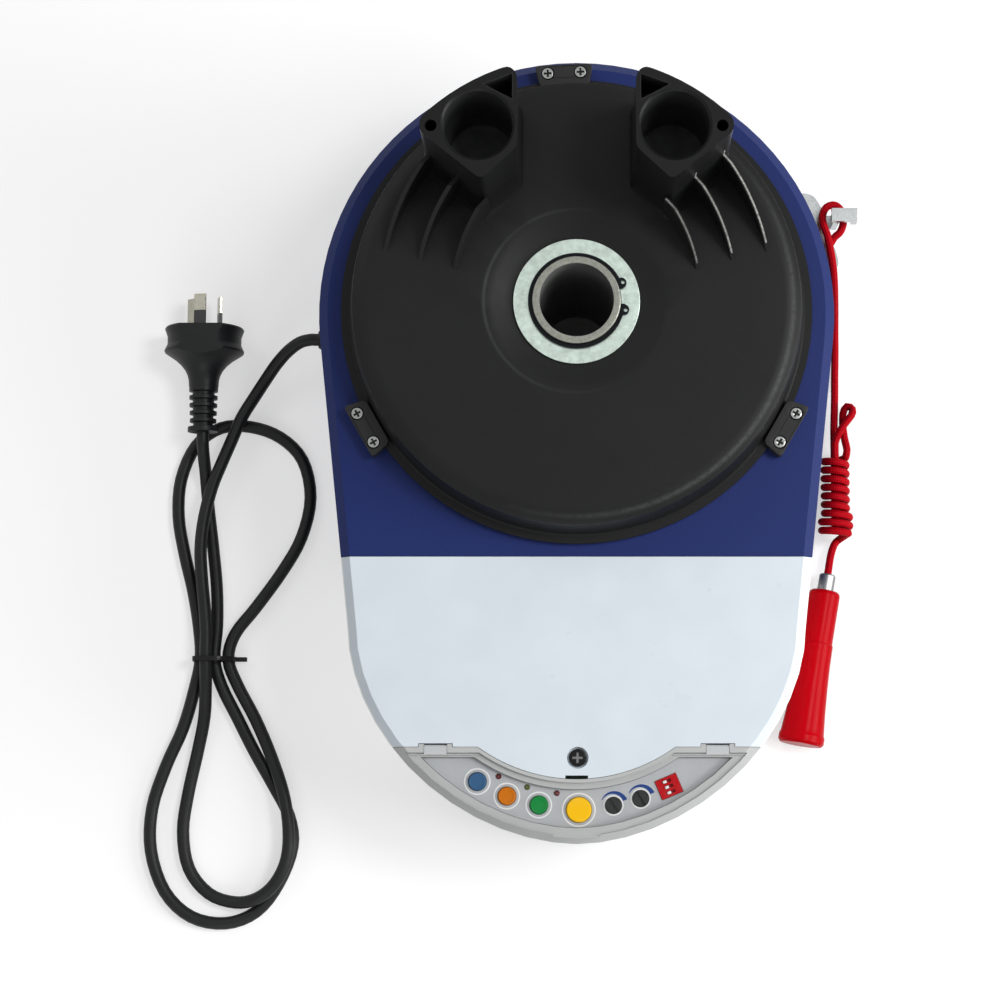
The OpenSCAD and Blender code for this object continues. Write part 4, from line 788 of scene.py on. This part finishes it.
class PanelOperator(bpy.types.Operator):
    """Finishes the control panel, its keys, knobs, lamps and flap"""

    bl_idname = "opener.panel"
    bl_label = "Control panel"

    def execute(self, context):
        rings = []
        for node in ("button_blue", "button_orange", "button_green", "button_yellow",
                "trim_left", "trim_right"):
            low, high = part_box(node)
            rings.append(((low[0] + high[0]) / 2, (low[1] + high[1]) / 2,
                (high[0] - low[0]) / 2 + RING_GAP * MM))
        dress("fascia_panel", panel_plate("panel_grey", (0.44, 0.455, 0.47), rings))
        dress("panel_flap", clear("flap_clear", (0.60, 0.62, 0.63), frosted=FLAP_CLEAR_BELOW), 0.2)
        keys = {"blue": (0.035, 0.11, 0.235), "orange": (0.60, 0.165, 0.0),
            "green": (0.0, 0.235, 0.04), "yellow": (1.0, 0.55, 0.0)}
        for name, color in keys.items():
            dress("button_" + name, moulded("key_" + name, color, 0.32,
                Specular_IOR_Level=0.12), 0.25)
        knob = black_plastic("knob_black", (0.014, 0.0145, 0.0145), 0.3, level=0.22)
        dress("trim_left", knob, 0.25)
        dress("trim_right", knob, 0.25)
        dress("leds_red", moulded("lens_red", (0.11, 0.006, 0.008), 0.15), 0.1)
        dress("led_green", moulded("lens_green", (0.07, 0.10, 0.012), 0.15), 0.1)
        dress("dip_body", moulded("switch_red", (0.47, 0.0, 0.004), 0.28,
            Specular_IOR_Level=0.12), 0.2)
        white = moulded("switch_white", (0.8, 0.8, 0.78), 0.4)
        for i in (1, 2, 3):
            dress("slider_%d" % i, white, 0.15)
        dress("main_board", moulded("board_green", (0.01, 0.10, 0.035), 0.35))
        dark = black_plastic("part_black", (0.012, 0.012, 0.013), 0.45)
        dress("board_switches", dark)
        dress("board_relays", dark)
        dress("lamp_bulbs", clear("bulb_glass", (0.95, 0.93, 0.88), 0.05, 0.15))
        return {"FINISHED"}


class OpenerPanel(bpy.types.Panel):
    """Steps that dress the opener"""

    bl_idname = "VIEW3D_PT_opener"
    bl_label = "Roller door opener"
    bl_space_type = "VIEW_3D"
    bl_region_type = "UI"
    bl_category = "Opener"

    def draw(self, context):
        for item in STEPS:
            self.layout.operator(item.bl_idname)


STEPS = (StageOperator, MainsCordOperator, PullCordOperator, HousingOperator, DriveOperator,
    PanelOperator)
CLASSES = (OpenerColours, OpenerSizes, *STEPS, OpenerPanel)


def register():
    for item in CLASSES:
        bpy.utils.register_class(item)
    bpy.types.Scene.opener_colours = PointerProperty(type=OpenerColours)
    bpy.types.Scene.opener_sizes = PointerProperty(type=OpenerSizes)


def unregister():
    del bpy.types.Scene.opener_sizes
    del bpy.types.Scene.opener_colours
    for item in reversed(CLASSES):
        bpy.utils.unregister_class(item)


def main():
    register()
    for item in STEPS:
        group, name = item.bl_idname.split(".")
        getattr(getattr(bpy.ops, group), name)()


if __name__ == "__main__":
    main()
